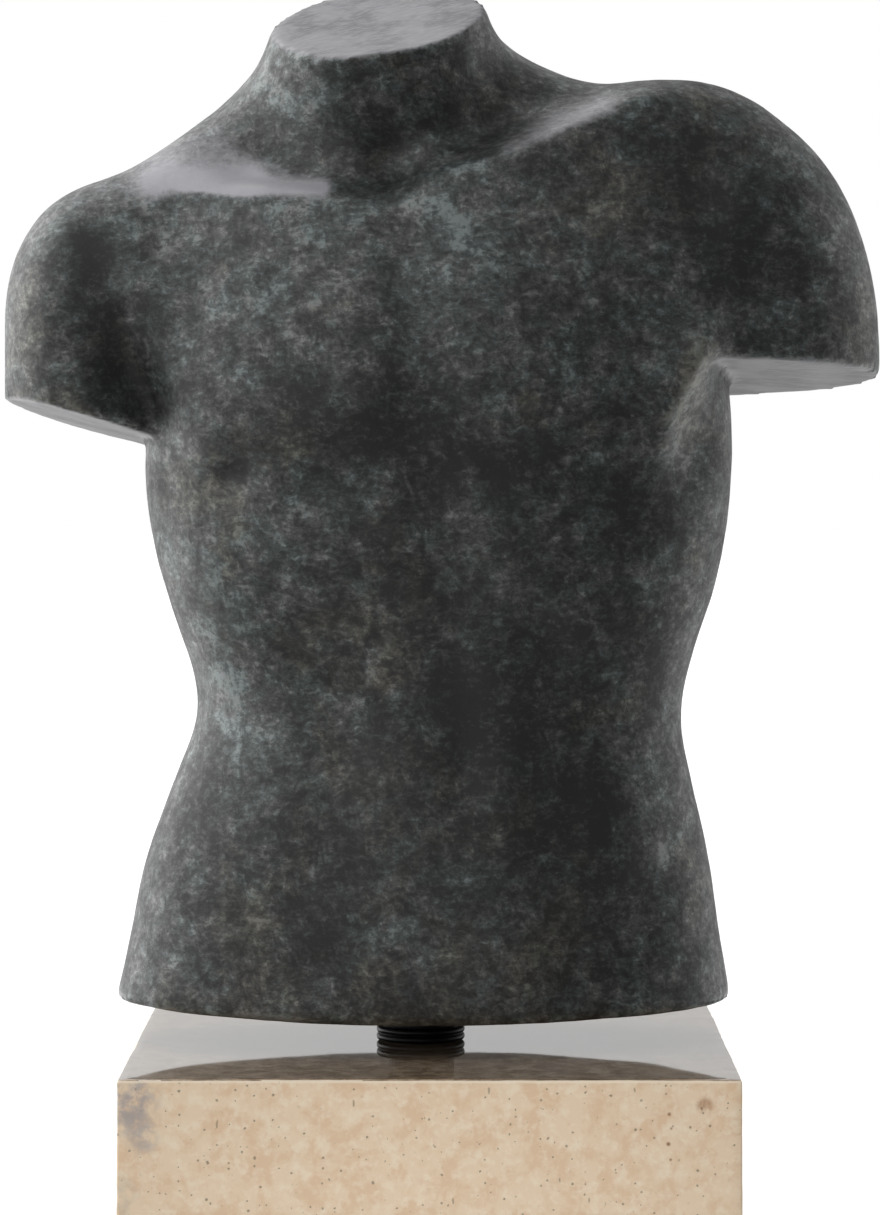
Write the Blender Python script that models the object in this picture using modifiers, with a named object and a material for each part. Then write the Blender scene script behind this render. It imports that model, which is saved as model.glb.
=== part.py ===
"""Bronze torso on a short steel rod above a block of pale stone.

The torso is a male trunk cut flat at the neck, at both upper arms and across the hips. Its body
is one cast form, described here by a signed field: a trunk with its own left, right, front and
back reach at each height, a neck, two shoulder yokes and two arm stubs, all blended into each
other, with the muscles as swellings and furrows on top. Rings are then run round that field,
level by level, and joined into one closed skin.

Metres, +Z up. The front of the torso faces -Y, its left as seen from the front is -X, and the
origin is the centre of the underside of the stone.
"""

import math

import bmesh
import bpy
import numpy as np

MM = 0.001

# ---------------------------------------------------------------- stone, rod and collar
PLINTH_SIDE = 222 * MM
PLINTH_HEIGHT = 100 * MM
PLINTH_EDGE = 1.2 * MM
ROD_X = -3.7 * MM
ROD_RADIUS = 12.6 * MM
COLLAR_RADIUS = 16.6 * MM
COLLAR_HEIGHT = 5.4 * MM
COLLAR_RIDGES = 2
COLLAR_GROOVE = 1.0 * MM
RIDGE_ANGLES = (70, 35, 0, -35, -70)
GAP = 0.3 * MM
TURNED_SIDES = 36

# ---------------------------------------------------------------- trunk
# Height, then the reach to the left, right, front and back of the centre plane, all in
# millimetres, and how full the section is: 2 is an ellipse and more is squarer.
TRUNK_STATIONS = (
    (112, 119.5, 113.5, 63.0, 63.0, 2.20),
    (140, 112.5, 108.5, 63.0, 67.0, 2.20),
    (172, 106.0, 104.0, 62.0, 62.0, 2.20),
    (200, 95.5, 97.5, 60.0, 53.0, 2.15),
    (222, 87.5, 94.0, 58.5, 49.5, 2.12),
    (250, 91.4, 99.2, 62.0, 52.0, 2.12),
    (286, 100.4, 107.6, 68.0, 60.0, 2.15),
    (318, 106.4, 111.2, 71.0, 67.0, 2.20),
    (350, 107.5, 112.2, 70.0, 72.0, 2.25),
    (380, 104.0, 109.0, 65.0, 73.0, 2.30),
    (405, 100.0, 105.0, 58.5, 69.0, 2.40),
    (430, 94.0, 98.0, 51.0, 58.0, 2.50),
    (475, 84.0, 86.0, 40.0, 40.0, 2.30),
)
# Top of the rib cage: a shelf from the collar bones back to the neck, in the body's own height.
# It climbs outwards and to the back, then falls away past the two turning places.
SHELF_HEIGHT = 415.5 * MM
SHELF_EDGE_DEPTH = 50 * MM
SHELF_RISE_OUT = 0.20
SHELF_TURN_OUT = 62 * MM
SHELF_FALL_OUT = 15.0
SHELF_MIDDLE_ROUNDING = 12 * MM
SHELF_RISE_BACK = 0.33
SHELF_RISE_BACK_OUT = 0.15
SHELF_TURN_BACK = -15 * MM
SHELF_FALL_BACK = 6.0
SHELF_FRONT_ROUNDING = 6 * MM
SHELF_BACK_ROUNDING = 26 * MM
SHELF_ROUNDING_DEPTHS = (-20 * MM, 40 * MM)

# ---------------------------------------------------------------- pose
# The midline of the body sways to the side, and the line across the body tips with it.
# Height and sideways place of the midline in millimetres, and tip of the cross line in degrees,
# right side up.
MIDLINE_STATIONS = (
    (112, 3.0, -3.0),
    (203, 13.0, 0.0),
    (250, 9.0, 1.5),
    (311, 1.3, 3.5),
    (345, -3.5, 4.5),
    (385, -9.5, 8.0),
    (424, -15.3, 11.0),
    (490, -19.0, 6.0),
)
CHEST_HALF_WIDTH = 110 * MM
CHEST_HEIGHT = 345 * MM
COLLAR_BONE_HEIGHT = 400 * MM
MIDLINE_PASSES = 5

# ---------------------------------------------------------------- underside and cuts
UNDERSIDE_Z = PLINTH_HEIGHT + 12.3 * MM
UNDERSIDE_FLAT = 20 * MM
UNDERSIDE_RISE = 3.2 * MM
UNDERSIDE_REACH = 95 * MM
UNDERSIDE_CURVE = 1.3
UNDERSIDE_ROUNDING = 3.5 * MM

# Each cut under an arm is a plane: its height at the centre plane of the torso, and its slopes
# to the right and to the back. Across the trunk the rings ease from one plane to the other.
LEFT_CUT = (298.1 * MM, -0.265, -0.08)
RIGHT_CUT = (349.2 * MM, 0.0, -0.13)
CUT_CHANGE = (-95 * MM, 95 * MM)

NECK_CENTRE = np.array((-20.0, -8.0, 483.0)) * MM
NECK_TIP_FORWARD = math.radians(23.0)
NECK_ROLL = math.radians(7.0)
NECK_LEAN = math.radians(19.0)
NECK_HALF_WIDTH = 37.0 * MM
NECK_HALF_DEPTH = 40.0 * MM
NECK_FLARE = 0.10
NECK_FLARE_LENGTH = 60 * MM
NECK_ROOT_DEPTH = 48 * MM
NECK_ROOT_ROUNDING = 42 * MM

# ---------------------------------------------------------------- shoulders
# Centre of the shoulder, then its half sizes across, in depth and above the centre, in
# millimetres. Below the centre the arm runs straight down.
LEFT_SHOULDER = ((-128.5, 5.0, 373.0), (32.2, 44.0, 44.3))
RIGHT_SHOULDER = ((108.5, 0.0, 362.0), (60.5, 49.0, 91.3))
# Yokes from the root of the neck to the top of the shoulder: start, end and their radii in
# millimetres.
LEFT_YOKE = ((-45.0, 24.0, 445.5), (-115.0, 14.0, 396.0), 27.5, 22.5)
RIGHT_YOKE = ((8.0, 26.0, 454.0), (99.0, 12.0, 409.0), 28.4, 25.0)
YOKE_DEPTH = 1.35

# Folds of the armpits: how far they stand out, where they end sideways, and how fast they run
# out below the cuts.
FOLD_RAISE = 13 * MM
FOLD_INNER = 96 * MM
FOLD_OUTER = 111 * MM
FOLD_SPREAD = 0.3
FOLD_LENGTH = 24 * MM

# Fillets between trunk, arms, yokes and neck: low in front of the body, high in front of it, and
# behind it; then the heights and the depths between which they change.
LEFT_ARM_BLEND = (13 * MM, 42 * MM, 34 * MM)
RIGHT_ARM_BLEND = (28 * MM, 34 * MM, 34 * MM)
YOKE_BLEND = (18 * MM, 18 * MM, 26 * MM)
NECK_BLEND = (20 * MM, 20 * MM, 26 * MM)
BLEND_HEIGHTS = (338 * MM, 392 * MM)
BLEND_DEPTHS = (-34 * MM, 0.0)

# ---------------------------------------------------------------- muscles
# Strokes follow the body: (sideways, height) points in millimetres on a body 110 mm wide to each
# side. Raise is how far the stroke stands out, negative for a furrow, and width is the distance
# at which it has faded to a third. Strokes of the front and the back are drawn on one side and
# repeated on the other; those of the left and the right run up from the midline on one side.
FRONT_STROKES = (
    # furrow along the outer edge of the belly muscle
    dict(raise_by=-2.0, width=11.0, path=((38, 262), (47, 235), (46, 200), (36, 165))),
    # groin line from the hip bone
    dict(raise_by=-2.2, width=12.0, path=((96, 176), (74, 152), (48, 128))),
    # teeth of the side muscle over the ribs
    dict(raise_by=1.2, width=7.0, path=((96, 300), (84, 290))),
    dict(raise_by=1.2, width=7.0, path=((94, 280), (82, 272))),
)
LEFT_STROKES = (
    # valley between shoulder and chest, down to the armpit
    dict(raise_by=-2.6, width=12.0, path=((128, 412), (125, 390), (116, 362), (108, 341))),
    # hollow under the lower outer corner of the chest
    dict(raise_by=-4.0, width=7.0, path=((70, 321), (77, 318))),
)
RIGHT_STROKES = (
    # collar bone
    dict(raise_by=2.2, width=8.0, path=((16, 420), (34, 423), (58, 428), (80, 434))),
    # hollow above the collar bone
    dict(raise_by=-2.0, width=10.0, path=((38, 438), (60, 443))),
    # soft border between chest and shoulder
    dict(raise_by=-3.0, width=12.0, path=((101, 400), (106, 375))),
    # fold that runs from the armpit into the lower chest, and the hollow behind it
    dict(raise_by=4.5, width=6.5, path=((101, 354), (94, 346), (88, 333), (81, 317))),
    dict(raise_by=-3.5, width=8.0, path=((108, 341), (101, 328), (95, 308))),
)
NECK_STROKE = dict(raise_by=1.0, width=10.0, path=((12, 430), (20, 450), (33, 480)))
MIDLINE_STROKES = (
    # pit of the neck, breast bone and the line down the belly
    dict(raise_by=-2.0, width=9.0, path=((0, 432), (0, 424))),
    dict(raise_by=-1.0, width=9.0, path=((0, 400), (0, 335))),
    dict(raise_by=-3.0, width=12.0, path=((0, 312), (0, 300))),
    dict(raise_by=-2.0, width=8.0, path=((0, 285), (0, 205))),
    dict(raise_by=-1.6, width=6.0, path=((1, 205), (1, 196))),
)
BACK_STROKES = (
    # long muscles beside the spine
    dict(raise_by=2.5, width=16.0, path=((26, 140), (26, 200), (30, 260))),
    # inner edge and lower tip of the shoulder blade
    dict(raise_by=4.0, width=14.0, path=((40, 415), (42, 375), (56, 335))),
    dict(raise_by=3.0, width=12.0, path=((42, 418), (75, 425), (100, 425))),
    dict(raise_by=-2.5, width=14.0, path=((66, 392), (92, 382))),
    # edge of the broad back muscle
    dict(raise_by=2.5, width=16.0, path=((98, 330), (84, 280), (58, 235))),
    # upper edge of the buttock
    dict(raise_by=3.0, width=16.0, path=((30, 128), (62, 140), (92, 150))),
)
SPINE_STROKE = dict(raise_by=-5.0, width=15.0, path=((0, 430), (0, 330), (0, 200), (0, 132)))

# Depths between which the muscles of the front and those of the back fade in.
FRONT_DEPTHS = (12 * MM, -18 * MM)
BACK_DEPTHS = (-12 * MM, 18 * MM)
# Breast muscles: lower border, how far it climbs to the breast bone and to the armpit, and the
# places, as shares of the chest, from which it climbs and over which it does; the slope of the
# border; and how thick the muscle is at its top and at the breast bone.
CHEST_RAISE = 5.0 * MM
CHEST_BORDER = 318 * MM
CHEST_RISE_IN = (14 * MM, 0.55, 0.45)
CHEST_RISE_OUT = (36 * MM, 0.68, 0.28)
CHEST_SLOPE = (-7 * MM, 13 * MM)
CHEST_FADE = (365 * MM, 420 * MM)
CHEST_TOP_SHARE = 0.35
CHEST_INNER_SHARE = 0.45
CHEST_INNER_FADE = (0.0, 0.2)
# Rib cage: foot and rise of its arch, half width of the arch as a share of the chest, and the
# slope of its edge.
RIB_RAISE = 3.0 * MM
RIB_ARCH_FOOT = 252 * MM
RIB_ARCH_RISE = 36 * MM
RIB_ARCH_HALF_WIDTH = 0.28
RIB_SLOPE = (-9 * MM, 9 * MM)
RIB_FADE = (270 * MM, 325 * MM)
# Long belly muscle: where it fades sideways, as shares of the chest, and at both ends.
BELLY_RAISE = 2.5 * MM
BELLY_SIDES = (0.22, 0.5)
BELLY_FOOT = (115 * MM, 170 * MM)
BELLY_TOP = (240 * MM, 300 * MM)

# ---------------------------------------------------------------- rings of the skin
FRONT_COLUMNS = 48
BACK_COLUMNS = 28
TRUNK_RINGS = 26
SHOULDER_RINGS = 26
CAP_RINGS = (0.72, 0.36)
NECK_CAP_RINGS = (0.93, 0.62, 0.3)
# Half length of the line that the rays of a ring start from, how fast it shrinks to the neck,
# and how much the rays turn to the front and back.
SPREAD_AT_HIPS = 52 * MM
SPREAD_AT_ARMS = 105 * MM
SPREAD_FADE = 0.7
SPREAD_TURN = 0.42
# How the rings over the shoulders are spaced, and how steeply their rays climb.
RING_SPACING = 1.3
RING_EASE = 0.35
FAN_LIFT = 0.95
FAN_CURVE = 0.9
# The flat faces under the arms begin at once outside the trunk: how far the trunk's last ring
# drops, and the widths of the face between which it stops doing so.
LEDGE_DROP = 5 * MM
LEDGE_WIDTHS = (0.5 * MM, 6 * MM)
RAY_REACH = 150 * MM
RAY_STEPS = 60
BISECTIONS = 18
SHARP_ANGLE = math.radians(52.0)


# ---------------------------------------------------------------- small mathematics
def smoothstep(low, high, value):
    """Rise from 0 at low to 1 at high with level ends."""
    t = np.clip((value - low) / (high - low), 0.0, 1.0)
    return t * t * (3.0 - 2.0 * t)


def blended_union(a, b, blend):
    """Union of two signed fields with a fillet about as wide as blend."""
    h = np.clip(0.5 + 0.5 * (b - a) / blend, 0.0, 1.0)
    return b * (1.0 - h) + a * h - blend * h * (1.0 - h)


def through_stations(stations, column, height):
    """Smooth curve through one column of a station table, read at the given heights."""
    table = np.array(stations, dtype=float)
    knots = table[:, 0] * MM
    values = table[:, column]
    slopes = np.gradient(values, knots)
    height = np.clip(height, knots[0], knots[-1])
    index = np.clip(np.searchsorted(knots, height) - 1, 0, len(knots) - 2)
    span = knots[index + 1] - knots[index]
    t = (height - knots[index]) / span
    return (
        values[index] * (1 + 2 * t) * (1 - t) ** 2
        + slopes[index] * span * t * (1 - t) ** 2
        + values[index + 1] * t * t * (3 - 2 * t)
        + slopes[index + 1] * span * t * t * (t - 1)
    )


def distance_to_path(side, height, path):
    """Distance in the plane of the body from each point to a line through the path."""
    points = np.array(path, dtype=float) * MM
    nearest = np.full(side.shape, np.inf)
    for start, end in zip(points[:-1], points[1:]):
        along = end - start
        t = ((side - start[0]) * along[0] + (height - start[1]) * along[1]) / (along @ along)
        t = np.clip(t, 0.0, 1.0)
        gap = np.hypot(side - start[0] - t * along[0], height - start[1] - t * along[1])
        nearest = np.minimum(nearest, gap)
    return nearest


# ---------------------------------------------------------------- the body's own directions
def body_place(x, z):
    """Sideways place and height on the straightened, even-sided body."""
    height = z.copy()
    for _ in range(MIDLINE_PASSES):
        middle = through_stations(MIDLINE_STATIONS, 1, height) * MM
        tip = np.radians(through_stations(MIDLINE_STATIONS, 2, height))
        height = z - (x - middle) * np.tan(tip)
    chest = np.minimum(height, CHEST_HEIGHT)
    left = middle + through_stations(TRUNK_STATIONS, 1, chest) * MM
    right = through_stations(TRUNK_STATIONS, 2, chest) * MM - middle
    half_width = np.where(x < middle, left, right)
    return (x - middle) / np.cos(tip) / half_width * CHEST_HALF_WIDTH, height


def stroke_raise(side, height, stroke):
    """How far one stroke moves the surface outwards."""
    gap = distance_to_path(side, height, stroke["path"])
    return stroke["raise_by"] * MM * np.exp(-((gap / (stroke["width"] * MM)) ** 2))


def chest_raise(side, height):
    """Breast muscles, with a soft lower border that climbs to the breast bone and armpit."""
    across = np.abs(side) / CHEST_HALF_WIDTH
    climb_in, start_in, run_in = CHEST_RISE_IN
    climb_out, start_out, run_out = CHEST_RISE_OUT
    border = CHEST_BORDER + climb_in * np.clip((start_in - across) / run_in, 0, None) ** 2
    border = border + climb_out * np.clip((across - start_out) / run_out, 0, None) ** 2
    lower = smoothstep(*CHEST_SLOPE, height - border)
    upper = 1.0 - (1.0 - CHEST_TOP_SHARE) * smoothstep(*CHEST_FADE, height)
    inner = CHEST_INNER_SHARE + (1.0 - CHEST_INNER_SHARE) * smoothstep(*CHEST_INNER_FADE, across)
    return CHEST_RAISE * lower * upper * inner


def rib_raise(side, height):
    """Rib cage standing over the belly, along the arch from the breast bone to the flank."""
    across = np.abs(side) / CHEST_HALF_WIDTH
    arch = RIB_ARCH_FOOT + RIB_ARCH_RISE * np.exp(-((across / RIB_ARCH_HALF_WIDTH) ** 2))
    lower = smoothstep(*RIB_SLOPE, height - arch)
    upper = 1.0 - smoothstep(*RIB_FADE, height)
    return RIB_RAISE * lower * upper


def belly_raise(side, height):
    """Long belly muscle between its side furrows."""
    across = np.abs(side) / CHEST_HALF_WIDTH
    inside = 1.0 - smoothstep(*BELLY_SIDES, across)
    length = smoothstep(*BELLY_FOOT, height) * (1.0 - smoothstep(*BELLY_TOP, height))
    return BELLY_RAISE * inside * length


def muscles(point):
    """Outward movement of the surface by all muscles."""
    x, y, z = point
    side, height = body_place(x, z)
    front = smoothstep(*FRONT_DEPTHS, y)
    back = smoothstep(*BACK_DEPTHS, y)
    on_front = chest_raise(side, height) + rib_raise(side, height) + belly_raise(side, height)
    for stroke in (*FRONT_STROKES, NECK_STROKE):
        on_front = on_front + stroke_raise(np.abs(side), height, stroke)
    for stroke in LEFT_STROKES:
        on_front = on_front + stroke_raise(-side, height, stroke)
    for stroke in (*RIGHT_STROKES, *MIDLINE_STROKES):
        on_front = on_front + stroke_raise(side, height, stroke)
    on_back = stroke_raise(side, height, SPINE_STROKE)
    for stroke in BACK_STROKES:
        on_back = on_back + stroke_raise(np.abs(side), height, stroke)
    return front * on_front + back * on_back


# ---------------------------------------------------------------- signed field of the torso
def shelf_height(side, y):
    """Height of the top of the rib cage at each place on the body."""
    out = np.hypot(side, SHELF_MIDDLE_ROUNDING) - SHELF_MIDDLE_ROUNDING
    outer = smoothstep(0.5 * SHELF_TURN_OUT, SHELF_TURN_OUT, out)
    rise_back = SHELF_RISE_BACK + (SHELF_RISE_BACK_OUT - SHELF_RISE_BACK) * outer
    height = SHELF_HEIGHT + SHELF_RISE_OUT * out + rise_back * (y + SHELF_EDGE_DEPTH)
    height = height - SHELF_FALL_OUT * np.maximum(out - SHELF_TURN_OUT, 0.0) ** 2
    return height - SHELF_FALL_BACK * np.maximum(y - SHELF_TURN_BACK, 0.0) ** 2


def shelf_rounding(y):
    """Rounding of the edge of the shelf, crisp over the collar bones and wide over the back."""
    share = smoothstep(*SHELF_ROUNDING_DEPTHS, y)
    return SHELF_FRONT_ROUNDING + (SHELF_BACK_ROUNDING - SHELF_FRONT_ROUNDING) * share


def trunk_field(point):
    """Distance out from the trunk, measured level from its axis."""
    x, y, z = point
    side, height = body_place(x, z)
    z = z + (height - z) * smoothstep(CHEST_HEIGHT, COLLAR_BONE_HEIGHT, z)
    left, right, front, back = (
        through_stations(TRUNK_STATIONS, column, z) * MM for column in (1, 2, 3, 4)
    )
    fullness = through_stations(TRUNK_STATIONS, 5, z)
    x = x - (right - left) / 2
    half_width = (right + left) / 2
    half_depth = np.where(y < 0, front, back)
    level = np.abs(x / half_width) ** fullness + np.abs(y / half_depth) ** fullness
    level = np.maximum(level, 1e-9) ** (1.0 / fullness)
    around = np.hypot(x, y) * (1.0 - 1.0 / level)
    return -blended_union(-around, shelf_height(side, y) - height, shelf_rounding(y))


def neck_field(point):
    """Distance out from the leaning column of the neck, which widens towards its root."""
    x, y, z = point
    lean = np.array((0.0, -math.sin(NECK_LEAN), math.cos(NECK_LEAN)))
    x = x - NECK_CENTRE[0]
    y = y - NECK_CENTRE[1]
    z = z - NECK_CENTRE[2]
    along = y * lean[1] + z * lean[2]
    depth = y * lean[2] - z * lean[1]
    flare = 1.0 + NECK_FLARE * np.clip(-along / NECK_FLARE_LENGTH, 0.0, 1.5) ** 2
    below = np.clip(-along - NECK_ROOT_DEPTH, 0.0, None)
    level = np.hypot(x / NECK_HALF_WIDTH, depth / NECK_HALF_DEPTH) / flare
    level = np.maximum(np.hypot(level, below / NECK_ROOT_ROUNDING), 1e-9)
    return np.sqrt(x**2 + depth**2 + below**2) * (1.0 - 1.0 / level)


def shoulder_field(point, shoulder):
    """Distance out from a rounded shoulder with its arm running straight down."""
    centre, radii = np.array(shoulder) * MM
    x = point[0] - centre[0]
    y = point[1] - centre[1]
    z = np.maximum(point[2] - centre[2], 0.0)
    level = np.sqrt((x / radii[0]) ** 2 + (y / radii[1]) ** 2 + (z / radii[2]) ** 2)
    steep = np.sqrt((x / radii[0] ** 2) ** 2 + (y / radii[1] ** 2) ** 2 + (z / radii[2] ** 2) ** 2)
    return level * (level - 1.0) / np.maximum(steep, 1e-6)


def yoke_field(point, yoke):
    """Distance out from the tapered bar between neck and shoulder, flattened in height."""
    start = np.array(yoke[0]) * MM
    end = np.array(yoke[1]) * MM
    x = point[0] - start[0]
    y = (point[1] - start[1]) / YOKE_DEPTH
    z = point[2] - start[2]
    along = (end - start) / np.array((1.0, YOKE_DEPTH, 1.0))
    t = np.clip((x * along[0] + y * along[1] + z * along[2]) / (along @ along), 0.0, 1.0)
    away = np.sqrt((x - t * along[0]) ** 2 + (y - t * along[1]) ** 2 + (z - t * along[2]) ** 2)
    return away - (yoke[2] + t * (yoke[3] - yoke[2])) * MM


def eased_blend(blend, point):
    """Fillet at each place, eased from low to high in front and from there to the back."""
    low, high, back = blend
    front = low + (high - low) * smoothstep(*BLEND_HEIGHTS, point[2])
    return front + (back - front) * smoothstep(*BLEND_DEPTHS, point[1])


def body_field(point):
    """Whole body above the arm cuts."""
    field = trunk_field(point)
    for shoulder, yoke, arm_blend in (
        (LEFT_SHOULDER, LEFT_YOKE, LEFT_ARM_BLEND),
        (RIGHT_SHOULDER, RIGHT_YOKE, RIGHT_ARM_BLEND),
    ):
        field = blended_union(field, shoulder_field(point, shoulder), eased_blend(arm_blend, point))
        field = blended_union(field, yoke_field(point, yoke), eased_blend(YOKE_BLEND, point))
    field = blended_union(field, neck_field(point), eased_blend(NECK_BLEND, point))
    return field - muscles(point)


def lower_field(point):
    """Trunk below the arm cuts, with the folds of the armpits running out below them."""
    x, y, z = point
    trunk = trunk_field(point) - muscles(point)
    fold = np.clip(trunk - body_field(point), 0.0, FOLD_RAISE)
    below = np.maximum(cut_height(x, y) - z, 0.0)
    side, _ = body_place(x, z)
    inward = 1.0 - smoothstep(FOLD_INNER, FOLD_OUTER, np.abs(side) - FOLD_SPREAD * below)
    return trunk - fold * inward * np.exp(-below / FOLD_LENGTH)


# ---------------------------------------------------------------- levels that the rings follow
def underside_height(x, y):
    """Underside: flat over the rod and rising a little to both sides."""
    rise = np.clip((np.abs(x) - UNDERSIDE_FLAT) / UNDERSIDE_REACH, 0.0, None)
    return UNDERSIDE_Z + UNDERSIDE_RISE * rise**UNDERSIDE_CURVE


def cut_height(x, y):
    """Level of the arm cuts, eased from one to the other across the trunk."""
    left = LEFT_CUT[0] + LEFT_CUT[1] * x + LEFT_CUT[2] * y
    right = RIGHT_CUT[0] + RIGHT_CUT[1] * x + RIGHT_CUT[2] * y
    return left + (right - left) * smoothstep(*CUT_CHANGE, x)


def neck_height(x, y):
    """Level of the plane that cuts the neck."""
    across = (x - NECK_CENTRE[0]) * math.tan(NECK_ROLL)
    return NECK_CENTRE[2] + across + (y - NECK_CENTRE[1]) * math.tan(NECK_TIP_FORWARD)


def column_angles():
    """Directions of the columns round the body, closer together over the front."""
    front = np.linspace(math.pi, 2 * math.pi, FRONT_COLUMNS, endpoint=False)
    back = np.linspace(0.0, math.pi, BACK_COLUMNS, endpoint=False)
    return np.concatenate((back, front))


def ring(field, level, spread, centre=(0.0, 0.0)):
    """Points where rays from a line across the body, kept on a level, leave the field."""
    angles = column_angles()
    turned = angles + SPREAD_TURN * np.sin(2 * angles) * spread / SPREAD_AT_ARMS
    reach = np.linspace(0.0, RAY_REACH, RAY_STEPS)[:, None]

    def place(r):
        x = centre[0] + spread * np.cos(angles) + r * np.cos(turned)
        y = centre[1] + r * np.sin(turned)
        return x, y, level(x, y, r)

    outside = field(place(reach)) > 0.0
    first = np.argmax(outside, axis=0)
    near = reach[np.maximum(first - 1, 0), 0]
    far = reach[first, 0]
    for _ in range(BISECTIONS):
        middle = (near + far) / 2
        out = field(place(middle)) > 0.0
        far = np.where(out, middle, far)
        near = np.where(out, near, middle)
    return np.stack(place((near + far) / 2), axis=1)


def trunk_rings():
    """Rings from the underside up to the arm cuts, the first ones rounding the lower edge."""
    rings = []
    edge = UNDERSIDE_ROUNDING
    for lift, inset in ((0.0, edge), (0.3 * edge, 0.3 * edge), (edge, 0.0)):
        loop = ring(
            lambda p: lower_field(p) + inset,
            lambda x, y, r: underside_height(x, y) + lift,
            SPREAD_AT_HIPS,
        )
        rings.append(loop)
    for step in range(1, TRUNK_RINGS + 1):
        up = step / TRUNK_RINGS
        spread = SPREAD_AT_HIPS + (SPREAD_AT_ARMS - SPREAD_AT_HIPS) * up

        def level(x, y, r):
            low = underside_height(x, y) + edge
            return low + (cut_height(x, y) - low) * up

        rings.append(ring(lower_field, level, spread))
    return rings


def shoulder_rings():
    """Rings from the outline of the arm cuts over the shoulders to the rim of the neck."""
    rings = []
    for step in range(SHOULDER_RINGS + 1):
        up = (step / SHOULDER_RINGS) ** RING_SPACING
        share = up + (smoothstep(0.0, 1.0, up) - up) * RING_EASE
        spread = SPREAD_AT_ARMS * (1.0 - up) ** SPREAD_FADE
        slope = FAN_LIFT * math.sin(math.pi * up) ** FAN_CURVE
        centre = (NECK_CENTRE[0] * up, NECK_CENTRE[1] * up)

        def level(x, y, r):
            base = cut_height(x, y) * (1.0 - share) + neck_height(x, y) * share
            return base + r * slope

        rings.append(ring(body_field, level, spread, centre))
    return rings


def cap_rings(rim, shares, level):
    """Rings that close a flat end, drawn in from its rim to its middle."""
    middle = rim.mean(axis=0)
    rings = []
    for share in shares:
        loop = middle + (rim - middle) * share
        loop[:, 2] = level(loop[:, 0], loop[:, 1])
        rings.append(loop)
    return rings


def open_ledge(rings, upper_rim):
    """Drop the last trunk ring a little wherever it would lie on the outline of the arm cuts."""
    last = rings[-1]
    width = np.linalg.norm(upper_rim - last, axis=1)
    drop = LEDGE_DROP * (1.0 - smoothstep(*LEDGE_WIDTHS, width))
    share = drop / np.maximum(last[:, 2] - rings[-2][:, 2], 1 * MM)
    rings[-1] = last + (rings[-2] - last) * share[:, None]


def torso_mesh():
    """Closed skin of the torso, from the middle of its underside to the middle of the neck."""
    lower = trunk_rings()
    upper = shoulder_rings()
    open_ledge(lower, upper[0])
    bottom = cap_rings(lower[0], CAP_RINGS, underside_height)
    top = cap_rings(upper[-1], NECK_CAP_RINGS, neck_height)
    loops = bottom[::-1] + lower + upper + top
    mesh = bmesh.new()
    rows = [[mesh.verts.new(point) for point in loop] for loop in loops]
    columns = len(rows[0])
    for low, high in zip(rows[:-1], rows[1:]):
        for here in range(columns):
            there = (here + 1) % columns
            mesh.faces.new((low[here], low[there], high[there], high[here]))
    for row, end in ((rows[0], -1), (rows[-1], 1)):
        middle = mesh.verts.new(np.mean([vert.co for vert in row], axis=0))
        for here in range(columns):
            pair = (row[here], row[(here + 1) % columns])
            mesh.faces.new((*pair, middle) if end > 0 else (*pair[::-1], middle))
    return mesh


# ---------------------------------------------------------------- objects
def material(name, colour, roughness, metallic):
    """Plain Principled material."""
    made = bpy.data.materials.new(name)
    made.use_nodes = True
    shader = made.node_tree.nodes["Principled BSDF"]
    shader.inputs["Base Color"].default_value = (*colour, 1.0)
    shader.inputs["Roughness"].default_value = roughness
    shader.inputs["Metallic"].default_value = metallic
    return made


def add_object(name, mesh, surface, collection):
    """Object made from a finished bmesh, shaded smooth with its real edges left sharp."""
    data = bpy.data.meshes.new(name)
    mesh.to_mesh(data)
    mesh.free()
    data.shade_smooth()
    data.set_sharp_from_angle(angle=SHARP_ANGLE)
    data.materials.append(surface)
    made = bpy.data.objects.new(name, data)
    collection.objects.link(made)
    return made


def add_plinth(collection):
    """Square block of stone with its edges just broken."""
    mesh = bmesh.new()
    bmesh.ops.create_cube(mesh, size=1.0)
    bmesh.ops.scale(mesh, vec=(PLINTH_SIDE, PLINTH_SIDE, PLINTH_HEIGHT), verts=mesh.verts)
    stone = material("honed_limestone", (0.62, 0.50, 0.38), 0.35, 0.0)
    block = add_object("plinth", mesh, stone, collection)
    block.location.z = PLINTH_HEIGHT / 2
    edge = block.modifiers.new("broken_edges", "BEVEL")
    edge.width = PLINTH_EDGE
    edge.segments = 2
    edge.limit_method = "ANGLE"
    return block


def add_rod(surface, collection):
    """Short round bar between the stone and the torso."""
    length = UNDERSIDE_Z - PLINTH_HEIGHT - 2 * GAP
    mesh = bmesh.new()
    bmesh.ops.create_cone(
        mesh,
        cap_ends=True,
        segments=TURNED_SIDES,
        radius1=ROD_RADIUS,
        radius2=ROD_RADIUS,
        depth=length,
    )
    rod = add_object("mounting_rod", mesh, surface, collection)
    rod.location = (ROD_X, 0.0, PLINTH_HEIGHT + GAP + length / 2)
    return rod


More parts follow.
